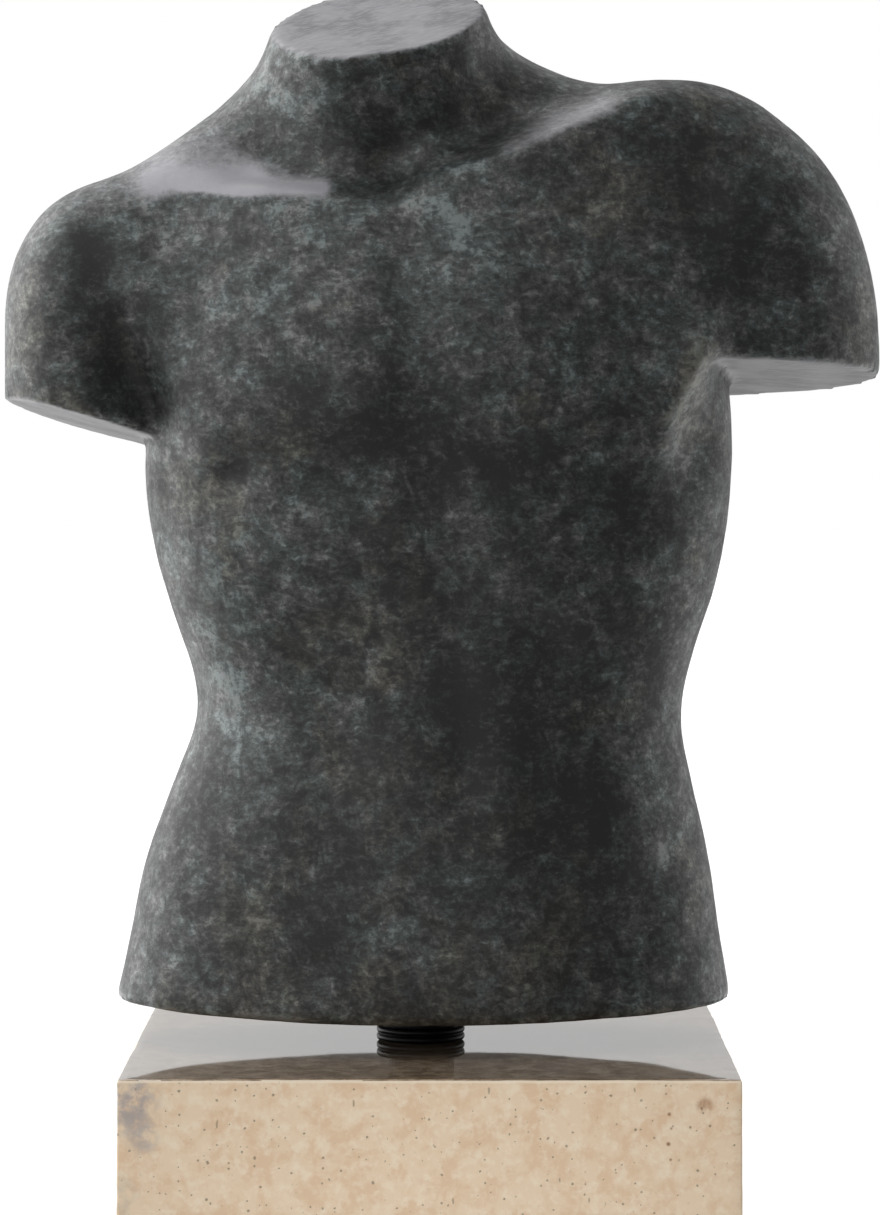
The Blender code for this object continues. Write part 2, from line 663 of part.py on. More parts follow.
def add_collar(surface, collection):
    """Ring of two rounded ridges round the foot of the rod, turned from its section."""
    inner = ROD_RADIUS + GAP
    ridge = COLLAR_HEIGHT / COLLAR_RIDGES
    profile = [(inner, COLLAR_HEIGHT)]
    for number in reversed(range(COLLAR_RIDGES)):
        for angle in RIDGE_ANGLES:
            turn = math.radians(angle)
            radius = COLLAR_RADIUS - COLLAR_GROOVE * (1.0 - math.cos(turn))
            profile.append((radius, ridge * (number + 0.5 + 0.5 * math.sin(turn))))
    profile.append((inner, 0.0))
    mesh = bmesh.new()
    verts = [mesh.verts.new((radius, 0.0, height)) for radius, height in profile]
    for first, second in zip(verts, verts[1:] + verts[:1]):
        mesh.edges.new((first, second))
    collar = add_object("rod_collar", mesh, surface, collection)
    collar.location = (ROD_X, 0.0, PLINTH_HEIGHT + GAP)
    turn = collar.modifiers.new("turn", "SCREW")
    turn.steps = TURNED_SIDES
    turn.render_steps = TURNED_SIDES
    turn.use_merge_vertices = True
    turn.merge_threshold = 0.00001
    return collar


def add_torso(collection):
    """The cast bronze body."""
    bronze = material("dark_patinated_bronze", (0.045, 0.055, 0.052), 0.45, 0.85)
    return add_object("torso", torso_mesh(), bronze, collection)


def main():
    """Clear the scene and build the four pieces."""
    for old in list(bpy.data.objects):
        bpy.data.objects.remove(old, do_unlink=True)
    collection = bpy.data.collections.new("bronze_torso_sculpture")
    bpy.context.scene.collection.children.link(collection)
    steel = material("blackened_steel", (0.012, 0.012, 0.013), 0.4, 0.9)
    add_plinth(collection)
    add_rod(steel, collection)
    add_collar(steel, collection)
    add_torso(collection)


main()
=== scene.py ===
"""Looks of a bronze torso on a short steel rod above a block of limestone.

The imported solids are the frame. The torso, the collar of the rod and the stone are made again
here from their own solids, with the fine relief and the finish of the real materials, and the
rod keeps its solid and gets its finish. Metres, +Z up; the front of the torso faces -Y.
"""

import logging
import math
from dataclasses import dataclass, fields
from enum import Enum
from typing import ClassVar

import bmesh
import bpy
import numpy as np
from bpy.types import Material, Mesh, Node, NodeSocket, NodeTree, Object, World
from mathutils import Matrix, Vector, noise


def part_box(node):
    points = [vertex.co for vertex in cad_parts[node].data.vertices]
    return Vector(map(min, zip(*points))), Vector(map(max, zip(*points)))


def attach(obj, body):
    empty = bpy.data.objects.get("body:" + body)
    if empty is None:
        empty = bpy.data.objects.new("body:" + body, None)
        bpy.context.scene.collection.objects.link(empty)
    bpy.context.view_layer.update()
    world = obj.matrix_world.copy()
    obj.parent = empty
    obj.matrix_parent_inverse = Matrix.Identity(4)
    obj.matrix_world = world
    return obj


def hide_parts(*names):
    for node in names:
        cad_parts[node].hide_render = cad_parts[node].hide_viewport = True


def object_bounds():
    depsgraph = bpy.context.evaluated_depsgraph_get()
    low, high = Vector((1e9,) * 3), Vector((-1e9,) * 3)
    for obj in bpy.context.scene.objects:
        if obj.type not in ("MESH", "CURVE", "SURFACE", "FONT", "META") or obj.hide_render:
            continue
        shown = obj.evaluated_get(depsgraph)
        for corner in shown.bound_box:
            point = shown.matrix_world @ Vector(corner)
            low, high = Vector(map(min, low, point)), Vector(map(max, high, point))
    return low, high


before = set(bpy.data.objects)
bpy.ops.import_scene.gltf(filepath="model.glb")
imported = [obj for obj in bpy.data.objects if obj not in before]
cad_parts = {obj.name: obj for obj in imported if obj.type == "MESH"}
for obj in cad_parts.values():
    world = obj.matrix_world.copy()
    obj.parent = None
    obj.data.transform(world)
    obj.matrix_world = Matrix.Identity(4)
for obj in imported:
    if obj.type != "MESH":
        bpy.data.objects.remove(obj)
CAD_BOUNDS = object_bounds()
MM = 0.001
LOG = logging.getLogger("torso")


# ---------------------------------------------------------------- shared helpers
class Slot(Enum):
    """Material slots of the record."""

    BRONZE = "patinated_bronze"
    STEEL = "blackened_steel"
    STONE = "honed_limestone"


def linear(colour: str) -> tuple[float, float, float, float]:
    """Turn an sRGB hex colour into linear values.

    Args:
        colour: six hex digits after a hash sign.

    Returns:
        Red, green, blue and an alpha of 1, in linear light.
    """
    values = [int(colour[i : i + 2], 16) / 255 for i in (1, 3, 5)]
    straight = [v / 12.92 if v <= 0.04045 else ((v + 0.055) / 1.055) ** 2.4 for v in values]
    return (*straight, 1.0)


def per_metre(size_mm: float) -> float:
    """Texture scale that gives a pattern about this size in millimetres."""
    return 1000.0 / size_mm


def add(tree: NodeTree, kind: str, sockets: dict | None = None, **settings) -> Node:
    """Add one node, set it up and link it.

    Args:
        tree: node tree that takes the node.
        kind: Blender's name of the node type.
        sockets: input name or index, with what it gets: an output socket, a node whose first
            live output is linked, a hex colour or a plain value.
        settings: attributes of the node itself.

    Returns:
        The new node.
    """
    node = tree.nodes.new(kind)
    for name, value in settings.items():
        setattr(node, name, value)
    for name, value in (sockets or {}).items():
        if isinstance(value, Node):
            value = next(output for output in value.outputs if output.enabled)
        if isinstance(value, NodeSocket):
            tree.links.new(value, node.inputs[name])
        else:
            node.inputs[name].default_value = linear(value) if isinstance(value, str) else value
    return node


def smoothstep(low: float, high: float, value: np.ndarray) -> np.ndarray:
    """Rise from 0 at low to 1 at high with level ends."""
    t = np.clip((value - low) / (high - low), 0.0, 1.0)
    return t * t * (3.0 - 2.0 * t)


def new_object(name: str, mesh: Mesh) -> Object:
    """Link a mesh into the scene as an object at the origin."""
    made = bpy.data.objects.new(name, mesh)
    bpy.context.scene.collection.objects.link(made)
    return made


def object_from(name: str, net: bmesh.types.BMesh) -> Object:
    """Turn a finished bmesh into an object at the origin, shaded smooth."""
    mesh = bpy.data.meshes.new(name)
    net.to_mesh(mesh)
    net.free()
    mesh.shade_smooth()
    return new_object(name, mesh)


def apply_modifiers(made: Object) -> None:
    """Turn an object's modifiers into its mesh."""
    evaluated = made.evaluated_get(bpy.context.evaluated_depsgraph_get())
    mesh = bpy.data.meshes.new_from_object(evaluated)
    made.modifiers.clear()
    old = made.data
    made.data = mesh
    bpy.data.meshes.remove(old)
    mesh.name = made.name


def rows_of(mesh: Mesh, normals: bool = False) -> np.ndarray:
    """Read the places or the normals of a mesh's vertices as rows of x, y and z."""
    values = np.empty(len(mesh.vertices) * 3, np.float32)
    if normals:
        mesh.vertex_normals.foreach_get("vector", values)
    else:
        mesh.vertices.foreach_get("co", values)
    return values.reshape(-1, 3).astype(float)


def move_out(mesh: Mesh, distance: np.ndarray) -> None:
    """Move each vertex along its normal by its own distance in metres."""
    moved = rows_of(mesh) + rows_of(mesh, normals=True) * distance[:, None]
    mesh.vertices.foreach_set("co", moved.astype(np.float32).ravel())
    mesh.update()


def lumps(points: np.ndarray, size_mm: float, seed: float) -> np.ndarray:
    """Smooth noise between about -1 and 1 at each point.

    Args:
        points: rows of x, y and z in metres.
        size_mm: size of the lumps.
        seed: shift that makes one noise differ from another.

    Returns:
        One value for each point.
    """
    scaled = points * per_metre(size_mm) + seed
    return np.array([noise.noise(Vector(row)) for row in scaled])


def crest_of(mesh: Mesh, rounds: int) -> np.ndarray:
    """How far each vertex stands out of the smoothed surface round it, negative in a hollow.

    Args:
        mesh: surface that is read.
        rounds: rounds of smoothing; more rounds look further round each vertex.

    Returns:
        One distance in metres for each vertex.
    """
    edges = np.empty(len(mesh.edges) * 2, np.int32)
    mesh.edges.foreach_get("vertices", edges)
    a, b = edges.reshape(-1, 2).T
    count = np.bincount(np.concatenate((a, b)), minlength=len(mesh.vertices))[:, None]
    places = rows_of(mesh)
    smooth = places.copy()
    for _ in range(rounds):
        total = np.zeros_like(smooth)
        for axis in range(3):
            total[:, axis] = np.bincount(a, smooth[b, axis], len(smooth))
            total[:, axis] += np.bincount(b, smooth[a, axis], len(smooth))
        smooth = 0.5 * smooth + 0.5 * total / np.maximum(count, 1)
    return ((places - smooth) * rows_of(mesh, normals=True)).sum(1)


def paint(mesh: Mesh, name: str, values: np.ndarray) -> None:
    """Keep one number for each vertex as a named attribute."""
    layer = mesh.attributes.new(name, "FLOAT", "POINT")
    layer.data.foreach_set("value", values.astype(np.float32))


# ---------------------------------------------------------------- finishes
Source = Node | NodeSocket

# kinds and settings of the nodes that the finishes are made of
MATH = "ShaderNodeMath"
VECTOR = "ShaderNodeVectorMath"
NOISE = "ShaderNodeTexNoise"
CELLS = "ShaderNodeTexVoronoi"
PARTS = "ShaderNodeSeparateColor"
LAYING = "ShaderNodeMapping"
RAMP = "ShaderNodeMapRange"
MIX = "ShaderNodeMix"
SMOOTH = {"interpolation_type": "SMOOTHSTEP"}
COLOURS = {"data_type": "RGBA"}
NUMBERS = {"data_type": "FLOAT"}
STRETCHED = {"vector_type": "TEXTURE"}
MIDDLE = 0.5  # the value that a noise varies about


@dataclass(frozen=True)
class Ramp:
    """A soft step: from start to end while a value passes from low to high."""

    low: float
    high: float
    start: float = 0.0
    end: float = 1.0

    def at(self, value: Source) -> dict:
        """Inputs of a range node that takes this step at the value."""
        return {0: value, 1: self.low, 2: self.high, 3: self.start, 4: self.end}


@dataclass(frozen=True)
class Mottle:
    """Noise with lumps of one size, and a shift that makes it differ from the others."""

    size_mm: float
    detail: float
    roughness: float = 0.65
    seed: float = 0.0
    distortion: float = 0.0

    def at(self, place: Source) -> dict:
        """Inputs of a noise node that draws this mottle."""
        return {
            "Vector": place, "Scale": per_metre(self.size_mm), "Detail": self.detail,
            "Roughness": self.roughness, "Distortion": self.distortion,
        }


@dataclass(frozen=True)
class Strokes:
    """Noise drawn out into marks: their size along x, y and z, and their turn in degrees."""

    size_mm: tuple[float, float, float]
    detail: float
    roughness: float = 0.5
    turn: tuple[float, float, float] = (0.0, 0.0, 0.0)

    def laid(self, place: Source) -> dict:
        """Inputs of a mapping node that draws the place out and turns it."""
        turn = tuple(math.radians(angle) for angle in self.turn)
        return {"Vector": place, "Rotation": turn, "Scale": tuple(s * MM for s in self.size_mm)}

    def at(self, place: Source) -> dict:
        """Inputs of a noise node that draws the marks on a laid place."""
        return {"Vector": place, "Scale": 1.0, "Detail": self.detail, "Roughness": self.roughness}


def start_material(title: str) -> tuple[Material, NodeSocket]:
    """Start a material.

    Args:
        title: what the real material is and how its surface was made.

    Returns:
        The material with no shader yet, and a socket with the place on the object.
    """
    made = bpy.data.materials.new(title)
    made.use_nodes = True
    made.node_tree.nodes.clear()
    return made, add(made.node_tree, "ShaderNodeTexCoord").outputs["Object"]


def draw_mottles(tree: NodeTree, place: Source, finish: object) -> dict[str, Node]:
    """Draw every mottle that a finish has.

    Args:
        tree: node tree that takes the nodes.
        place: the place on the object.
        finish: dataclass whose fields are read.

    Returns:
        The noise of each mottle, under the name of its field.
    """
    drawn = {}
    for field in fields(finish):
        mottle = getattr(finish, field.name)
        if isinstance(mottle, Mottle):
            shifted = add(tree, VECTOR, {0: place, 1: (mottle.seed,) * 3})
            drawn[field.name] = add(tree, NOISE, mottle.at(shifted))
    return drawn


CHANNELS = ("shade", "cool", "warm", "bare_and_highlight")


class Tone(Enum):
    """What a place of the bronze shows: how far it shifts each channel, and its rise in mm."""

    # darker patina, and painted shade where the body turns from the light, in creases and under
    # edges
    DARK_PATINA_AND_SHADE = (-0.045, 0.0, 0.0, 0.0, 0.0)
    # a small dent, darkened as painted shade in it
    PIT = (-0.07, 0.0, 0.0, 0.0, -0.9)
    # paler patina, and painted highlights where the body faces the light
    PALE_PATINA_AND_HIGHLIGHT = (0.04, 0.02, 0.0, 0.0, 0.0)
    TEAL = (0.005, 0.08, -0.06, 0.0, 0.0)
    MINT = (0.03, 0.12, -0.08, 0.0, 0.0)
    OCHRE = (0.005, 0.0, 0.06, 0.0, 0.0)
    # a raised fold, made paler as a painted highlight
    RIDGE_HIGHLIGHT = (0.045, 0.0, 0.06, 0.0, 0.7)
    # pale metal rubbed by handling, and painted highlight on lit up-facing tops
    BARE_AND_HIGHLIGHT = (0.03, 0.0, -0.05, 1.0, 0.0)


@dataclass(frozen=True)
class Patch:
    """A spot or streak on the front: patina that took differently, painted shade, or a painted
    highlight.

    It runs from start to end, sideways place and height in millimetres, and fades at its reach.
    """

    tone: Tone
    start: tuple[float, float]
    end: tuple[float, float]
    reach: float
    share: float = 0.6

    # how far the skin has to face forward, and up, for a patch to fade in on it
    FRONT: ClassVar[tuple[float, float]] = (0.1, -0.15)
    UPWARD: ClassVar[tuple[float, float]] = (0.35, 0.6)

    def cover(self, places: np.ndarray, normals: np.ndarray) -> np.ndarray:
        """How much of the patch lies at each point.

        Args:
            places: rows of x, y and z in metres.
            normals: normals at the same points.

        Returns:
            One share for each point.
        """
        flat = places[:, (0, 2)] / MM
        start = np.array(self.start)
        along = np.array(self.end) - start
        t = ((flat - start) @ along) / max(float(along @ along), 1e-9)
        gap = np.linalg.norm(flat - start - np.clip(t, 0.0, 1.0)[:, None] * along, axis=1)
        cover = self.share * np.exp(-((gap / self.reach) ** 2))
        cover = cover * smoothstep(*self.FRONT, normals[:, 1])
        if self.tone is Tone.BARE_AND_HIGHLIGHT:
            # only what faces up is made pale: metal rubbed down by handling, and a painted
            # highlight on the lit tops
            cover = cover * smoothstep(*self.UPWARD, normals[:, 2])
        return cover


@dataclass(frozen=True)
class FiledBronze:
    """The cut ends of the casting, filed flat and only lightly toned: pale lilac grey, brushed."""

    pale: str = "#8f8e92"
    dark: str = "#6b6b70"
    line: str = "#9d9ca0"
    clouds: Mottle = Mottle(22.0, 5.0)
    strokes: Strokes = Strokes((26.0, 1.2, 1.2), 3.0, turn=(0.0, 0.0, 24.0))
    pale_share: Ramp = Ramp(0.38, 0.6)
    line_share: Ramp = Ramp(0.48, 0.66, 0.0, 0.5)
    gloss: Ramp = Ramp(0.3, 0.7, 0.46, 0.36)

    def lay(self, tree: NodeTree, place: Source) -> tuple[Source, Source]:
        """Make the finish.

        Args:
            tree: node tree that takes the nodes.
            place: the place on the object.

        Returns:
            The colour and the roughness.
        """
        clouds = draw_mottles(tree, place, self)["clouds"]
        laid = add(tree, LAYING, self.strokes.laid(place), **STRETCHED)
        strokes = add(tree, NOISE, self.strokes.at(laid))
        share = add(tree, RAMP, self.pale_share.at(clouds), **SMOOTH)
        colour = add(tree, MIX, {0: share, 6: self.dark, 7: self.pale}, **COLOURS)
        share = add(tree, RAMP, self.line_share.at(strokes), **SMOOTH)
        colour = add(tree, MIX, {0: share, 6: colour, 7: self.line}, **COLOURS)
        return colour, add(tree, RAMP, self.gloss.at(strokes), **SMOOTH)


@dataclass(frozen=True)
class PatinatedBronze:
    """Cast bronze under a dark chemical patina, waxed: charcoal with a fine felt of paler wisps.

    The acid is dabbed on with a brush and bites a felt of short soft wisps into the surface, with
    clouds of a cooler green and of a warmer brown. Hollow places are darkened, as a dark crust and
    as painted shade that brings out the forms; crests are worn.
    """

    plain: tuple[str, ...] = ("#0a0b0b", "#252626", "#414241", "#6b6d6c")
    green: tuple[str, ...] = ("#090b0b", "#222726", "#3c4443", "#677170")
    brown: tuple[str, ...] = ("#0c0b09", "#262420", "#3f3c34", "#636054")
    # pale rubbed metal, also the colour of the painted highlight on lit up-facing tops
    rubbed: str = "#9a999e"
    ends: FiledBronze = FiledBronze()
    # the patterns, from the widest cloud to the finest fleck
    warmth: Mottle = Mottle(46.0, 6.0, 0.7, 5.0)
    clouds: Mottle = Mottle(42.0, 7.0, 0.78)
    tints: Mottle = Mottle(13.0, 5.0, 0.74, 2.0)
    field_1: Mottle = Mottle(11.0, 3.0, seed=4.0)
    field_2: Mottle = Mottle(11.0, 3.0, seed=5.0)
    blotches: Mottle = Mottle(9.0, 6.0, 0.74, 1.0)
    warp: Mottle = Mottle(6.0, 3.0)
    warp_mm: float = 4.5
    wisps: tuple[Strokes, ...] = (
        Strokes((3.4, 3.4, 1.7), 3.0, 0.6, (0.0, 4.0, 0.0)),
        Strokes((3.4, 3.4, 1.7), 3.0, 0.6, (0.0, -35.0, 0.0)),
        Strokes((3.4, 3.4, 1.7), 3.0, 0.6, (0.0, 68.0, 0.0)),
    )
    flecks: Strokes = Strokes((4.2, 4.2, 1.7), 5.0, 0.72)
    # how much clouds, blotches, wisps and flecks say in the lightness, and its steps of colour
    light_weights: tuple[float, ...] = (0.28, 0.33, 0.18, 0.21)
    contrast: float = 1.3
    steps: tuple[Ramp, ...] = (Ramp(0.41, 0.49), Ramp(0.47, 0.55), Ramp(0.53, 0.62))
    field_edge: Ramp = Ramp(0.42, 0.58)
    # hollow places darkened: crust, and painted shade that brings out the forms
    hollow_crust_and_shade: Ramp = Ramp(-0.0016, -0.0003, -0.06, 0.0)
    crests: Ramp = Ramp(0.0004, 0.0018, 0.0, 0.07)
    green_share: Ramp = Ramp(0.46, 0.56)
    brown_share: Ramp = Ramp(0.52, 0.62, 0.0, 0.65)
    felt_weight: float = 0.5
    bare_and_highlight_share: Ramp = Ramp(0.5, 1.6, 0.0, 0.9)
    gloss: Ramp = Ramp(0.38, 0.62, 0.6, 0.36)
    # the wax is a thin dull coat; wisps, flecks and blotches stand in relief, which is worn down
    # where the bronze is filed or rubbed, and where the pale highlight is painted on
    metallic: float = 0.3
    wax: float = 0.3
    wax_roughness: float = 0.42
    relief_mm: float = 0.35
    relief_weights: tuple[float, ...] = (0.5, 0.6, 1.6)
    relief_left: Ramp = Ramp(0.0, 1.0, 0.7, 0.1)

    def weighted(self, tree: NodeTree, patterns: tuple[Source, ...],
                 weights: tuple[float, ...]) -> Node:
        """Add up patterns.

        Args:
            tree: node tree that takes the nodes.
            patterns: the patterns.
            weights: how much each of them says.

        Returns:
            The sum.
        """
        total = 0.0
        for pattern, weight in zip(patterns, weights):
            total = add(tree, MATH, {0: pattern, 1: weight, 2: total}, operation="MULTIPLY_ADD")
        return total

    def shaded(self, tree: NodeTree, light: Source, hues: tuple[str, ...]) -> Node:
        """Colour for each lightness.

        Args:
            tree: node tree that takes the nodes.
            light: the lightness.
            hues: the colours that it passes through, from the darkest to the palest.

        Returns:
            The colour.
        """
        colour = hues[0]
        for step, hue in zip(self.steps, hues[1:]):
            share = add(tree, RAMP, step.at(light), **SMOOTH)
            colour = add(tree, MIX, {0: share, 6: colour, 7: hue}, **COLOURS)
        return colour

    def build(self) -> Material:
        """Make the material.

        Returns:
            The finished material.
        """
        made, place = start_material("bronze, cast, dark acid patina under wax")
        tree = made.node_tree
        drawn = draw_mottles(tree, place, self)
        painted = {name: add(tree, "ShaderNodeAttribute", attribute_name=name).outputs["Fac"]
                   for name in ("crest", "filed", *CHANNELS)}

        # wisps and flecks lie on warped ground, and the wisps run another way in each field
        shift = add(tree, VECTOR, {0: drawn["warp"].outputs["Color"], 1: (MIDDLE,) * 3},
                    operation="SUBTRACT")
        shift = add(tree, VECTOR, {0: shift, "Scale": self.warp_mm * MM}, operation="SCALE")
        warped = add(tree, VECTOR, {0: place, 1: shift})
        marks = []
        for strokes in (*self.wisps, self.flecks):
            laid = add(tree, LAYING, strokes.laid(warped), **STRETCHED)
            marks.append(add(tree, NOISE, strokes.at(laid)))
        wisps, *others, flecks = marks
        for field, other in zip((drawn["field_1"], drawn["field_2"]), others):
            share = add(tree, RAMP, self.field_edge.at(field), **SMOOTH)
            wisps = add(tree, MIX, {0: share, 2: wisps, 3: other}, **NUMBERS)

        # one lightness from all the sizes of pattern, then the colours that it passes through
        patterns = (drawn["clouds"], drawn["blotches"], wisps, flecks)
        light = self.weighted(tree, patterns, self.light_weights)
        light = add(tree, MATH, {0: light, 1: self.contrast, 2: MIDDLE * (1.0 - self.contrast)},
                    operation="MULTIPLY_ADD")
        hollow_crust_and_shade = add(tree, RAMP, self.hollow_crust_and_shade.at(painted["crest"]), **SMOOTH)
        crests = add(tree, RAMP, self.crests.at(painted["crest"]), **SMOOTH)
        for change in (hollow_crust_and_shade, crests, painted["shade"]):
            light = add(tree, MATH, {0: light, 1: change}, operation="ADD")
        tints = add(tree, MATH, {0: drawn["tints"], 1: painted["cool"]}, operation="ADD")
        warmth = add(tree, MATH, {0: drawn["warmth"], 1: painted["warm"]}, operation="ADD")
        plain, green, brown = (self.shaded(tree, light, hues)
                               for hues in (self.plain, self.green, self.brown))
        share = add(tree, RAMP, self.green_share.at(tints), **SMOOTH)
        colour = add(tree, MIX, {0: share, 6: plain, 7: green}, **COLOURS)
        share = add(tree, RAMP, self.brown_share.at(warmth), **SMOOTH)
        colour = add(tree, MIX, {0: share, 6: colour, 7: brown}, **COLOURS)
        rough = add(tree, RAMP, self.gloss.at(light), **SMOOTH)

        # places rubbed down to the metal, with painted highlights on lit up-facing tops, and the
        # filed ends
        felt = add(tree, MATH, {0: wisps, 1: flecks}, operation="ADD")
        bare_and_highlight = add(tree, MATH, {0: felt, 1: self.felt_weight, 2: painted["bare_and_highlight"]},
                   operation="MULTIPLY_ADD")
        bare_and_highlight = add(tree, RAMP, self.bare_and_highlight_share.at(bare_and_highlight), **SMOOTH)
        colour = add(tree, MIX, {0: bare_and_highlight, 6: colour, 7: self.rubbed}, **COLOURS)
        end_colour, end_rough = self.ends.lay(tree, place)
        colour = add(tree, MIX, {0: painted["filed"], 6: colour, 7: end_colour}, **COLOURS)
        rough = add(tree, MIX, {0: painted["filed"], 2: rough, 3: end_rough}, **NUMBERS)

        worked = add(tree, MATH, {0: painted["filed"], 1: bare_and_highlight}, operation="ADD")
        left = add(tree, RAMP, self.relief_left.at(worked), **SMOOTH)
        height = self.weighted(tree, (wisps, flecks, drawn["blotches"]), self.relief_weights)
        bump = add(tree, "ShaderNodeBump", {
            "Strength": left, "Distance": self.relief_mm * MM, "Height": height,
        })
        shader = add(tree, "ShaderNodeBsdfPrincipled", {
            "Base Color": colour, "Roughness": rough, "Metallic": self.metallic, "Normal": bump,
            "Coat Weight": self.wax, "Coat Roughness": self.wax_roughness,
        })
        add(tree, "ShaderNodeOutputMaterial", {"Surface": shader})
        return made


@dataclass(frozen=True)
class BlackenedSteel:
    """Turned mild steel, chemically blackened: near black with a satin sheen."""

    black: str = "#0b0b0c"
    rubbed: str = "#1d1d1f"
    # real turning marks lie about 0.2 mm apart; they are drawn coarser, so that they show
    turning: Strokes = Strokes((50.0, 50.0, 0.6), 2.0)
    rubbed_share: Ramp = Ramp(0.5, 0.75)
    gloss: Ramp = Ramp(0.3, 0.7, 0.5, 0.38)
    metallic: float = 0.6
    relief: float = 0.5
    relief_mm: float = 0.1

    def build(self) -> Material:
        """Make the material.

        Returns:
            The finished material.
        """
        made, place = start_material("steel, turned and blackened")
        tree = made.node_tree
        laid = add(tree, LAYING, self.turning.laid(place), **STRETCHED)
        marks = add(tree, NOISE, self.turning.at(laid))
        share = add(tree, RAMP, self.rubbed_share.at(marks), **SMOOTH)
        colour = add(tree, MIX, {0: share, 6: self.black, 7: self.rubbed}, **COLOURS)
        bump = add(tree, "ShaderNodeBump", {
            "Strength": self.relief, "Distance": self.relief_mm * MM, "Height": marks,
        })
        shader = add(tree, "ShaderNodeBsdfPrincipled", {
            "Base Color": colour, "Metallic": self.metallic, "Normal": bump,
            "Roughness": add(tree, RAMP, self.gloss.at(marks), **SMOOTH),
        })
        add(tree, "ShaderNodeOutputMaterial", {"Surface": shader})
        return made


class Polish(Enum):
    """How a face of the stone is worked: name, roughness, depth of its grain, darkening and wax."""

    HONED = ("limestone, fossil beige, honed", 0.42, 0.35, 0.0, 0.0)
    # the polished top is darkened partly as painted shade, for the shade the torso casts on it
    POLISHED = ("limestone, fossil beige, polished", 0.035, 0.02, 0.45, 1.0)


@dataclass(frozen=True)
class Stain:
    """One stained place near the front of the stone, in millimetres."""

    colour: str
    place: tuple[float, float, float]
    reach: float
    share: float
    clean: bool = False


@dataclass(frozen=True)
class Specks:
    """Small dots in some cells of a net: the spacing of the net, and their size in a cell."""

    spacing_mm: float
    radius: float


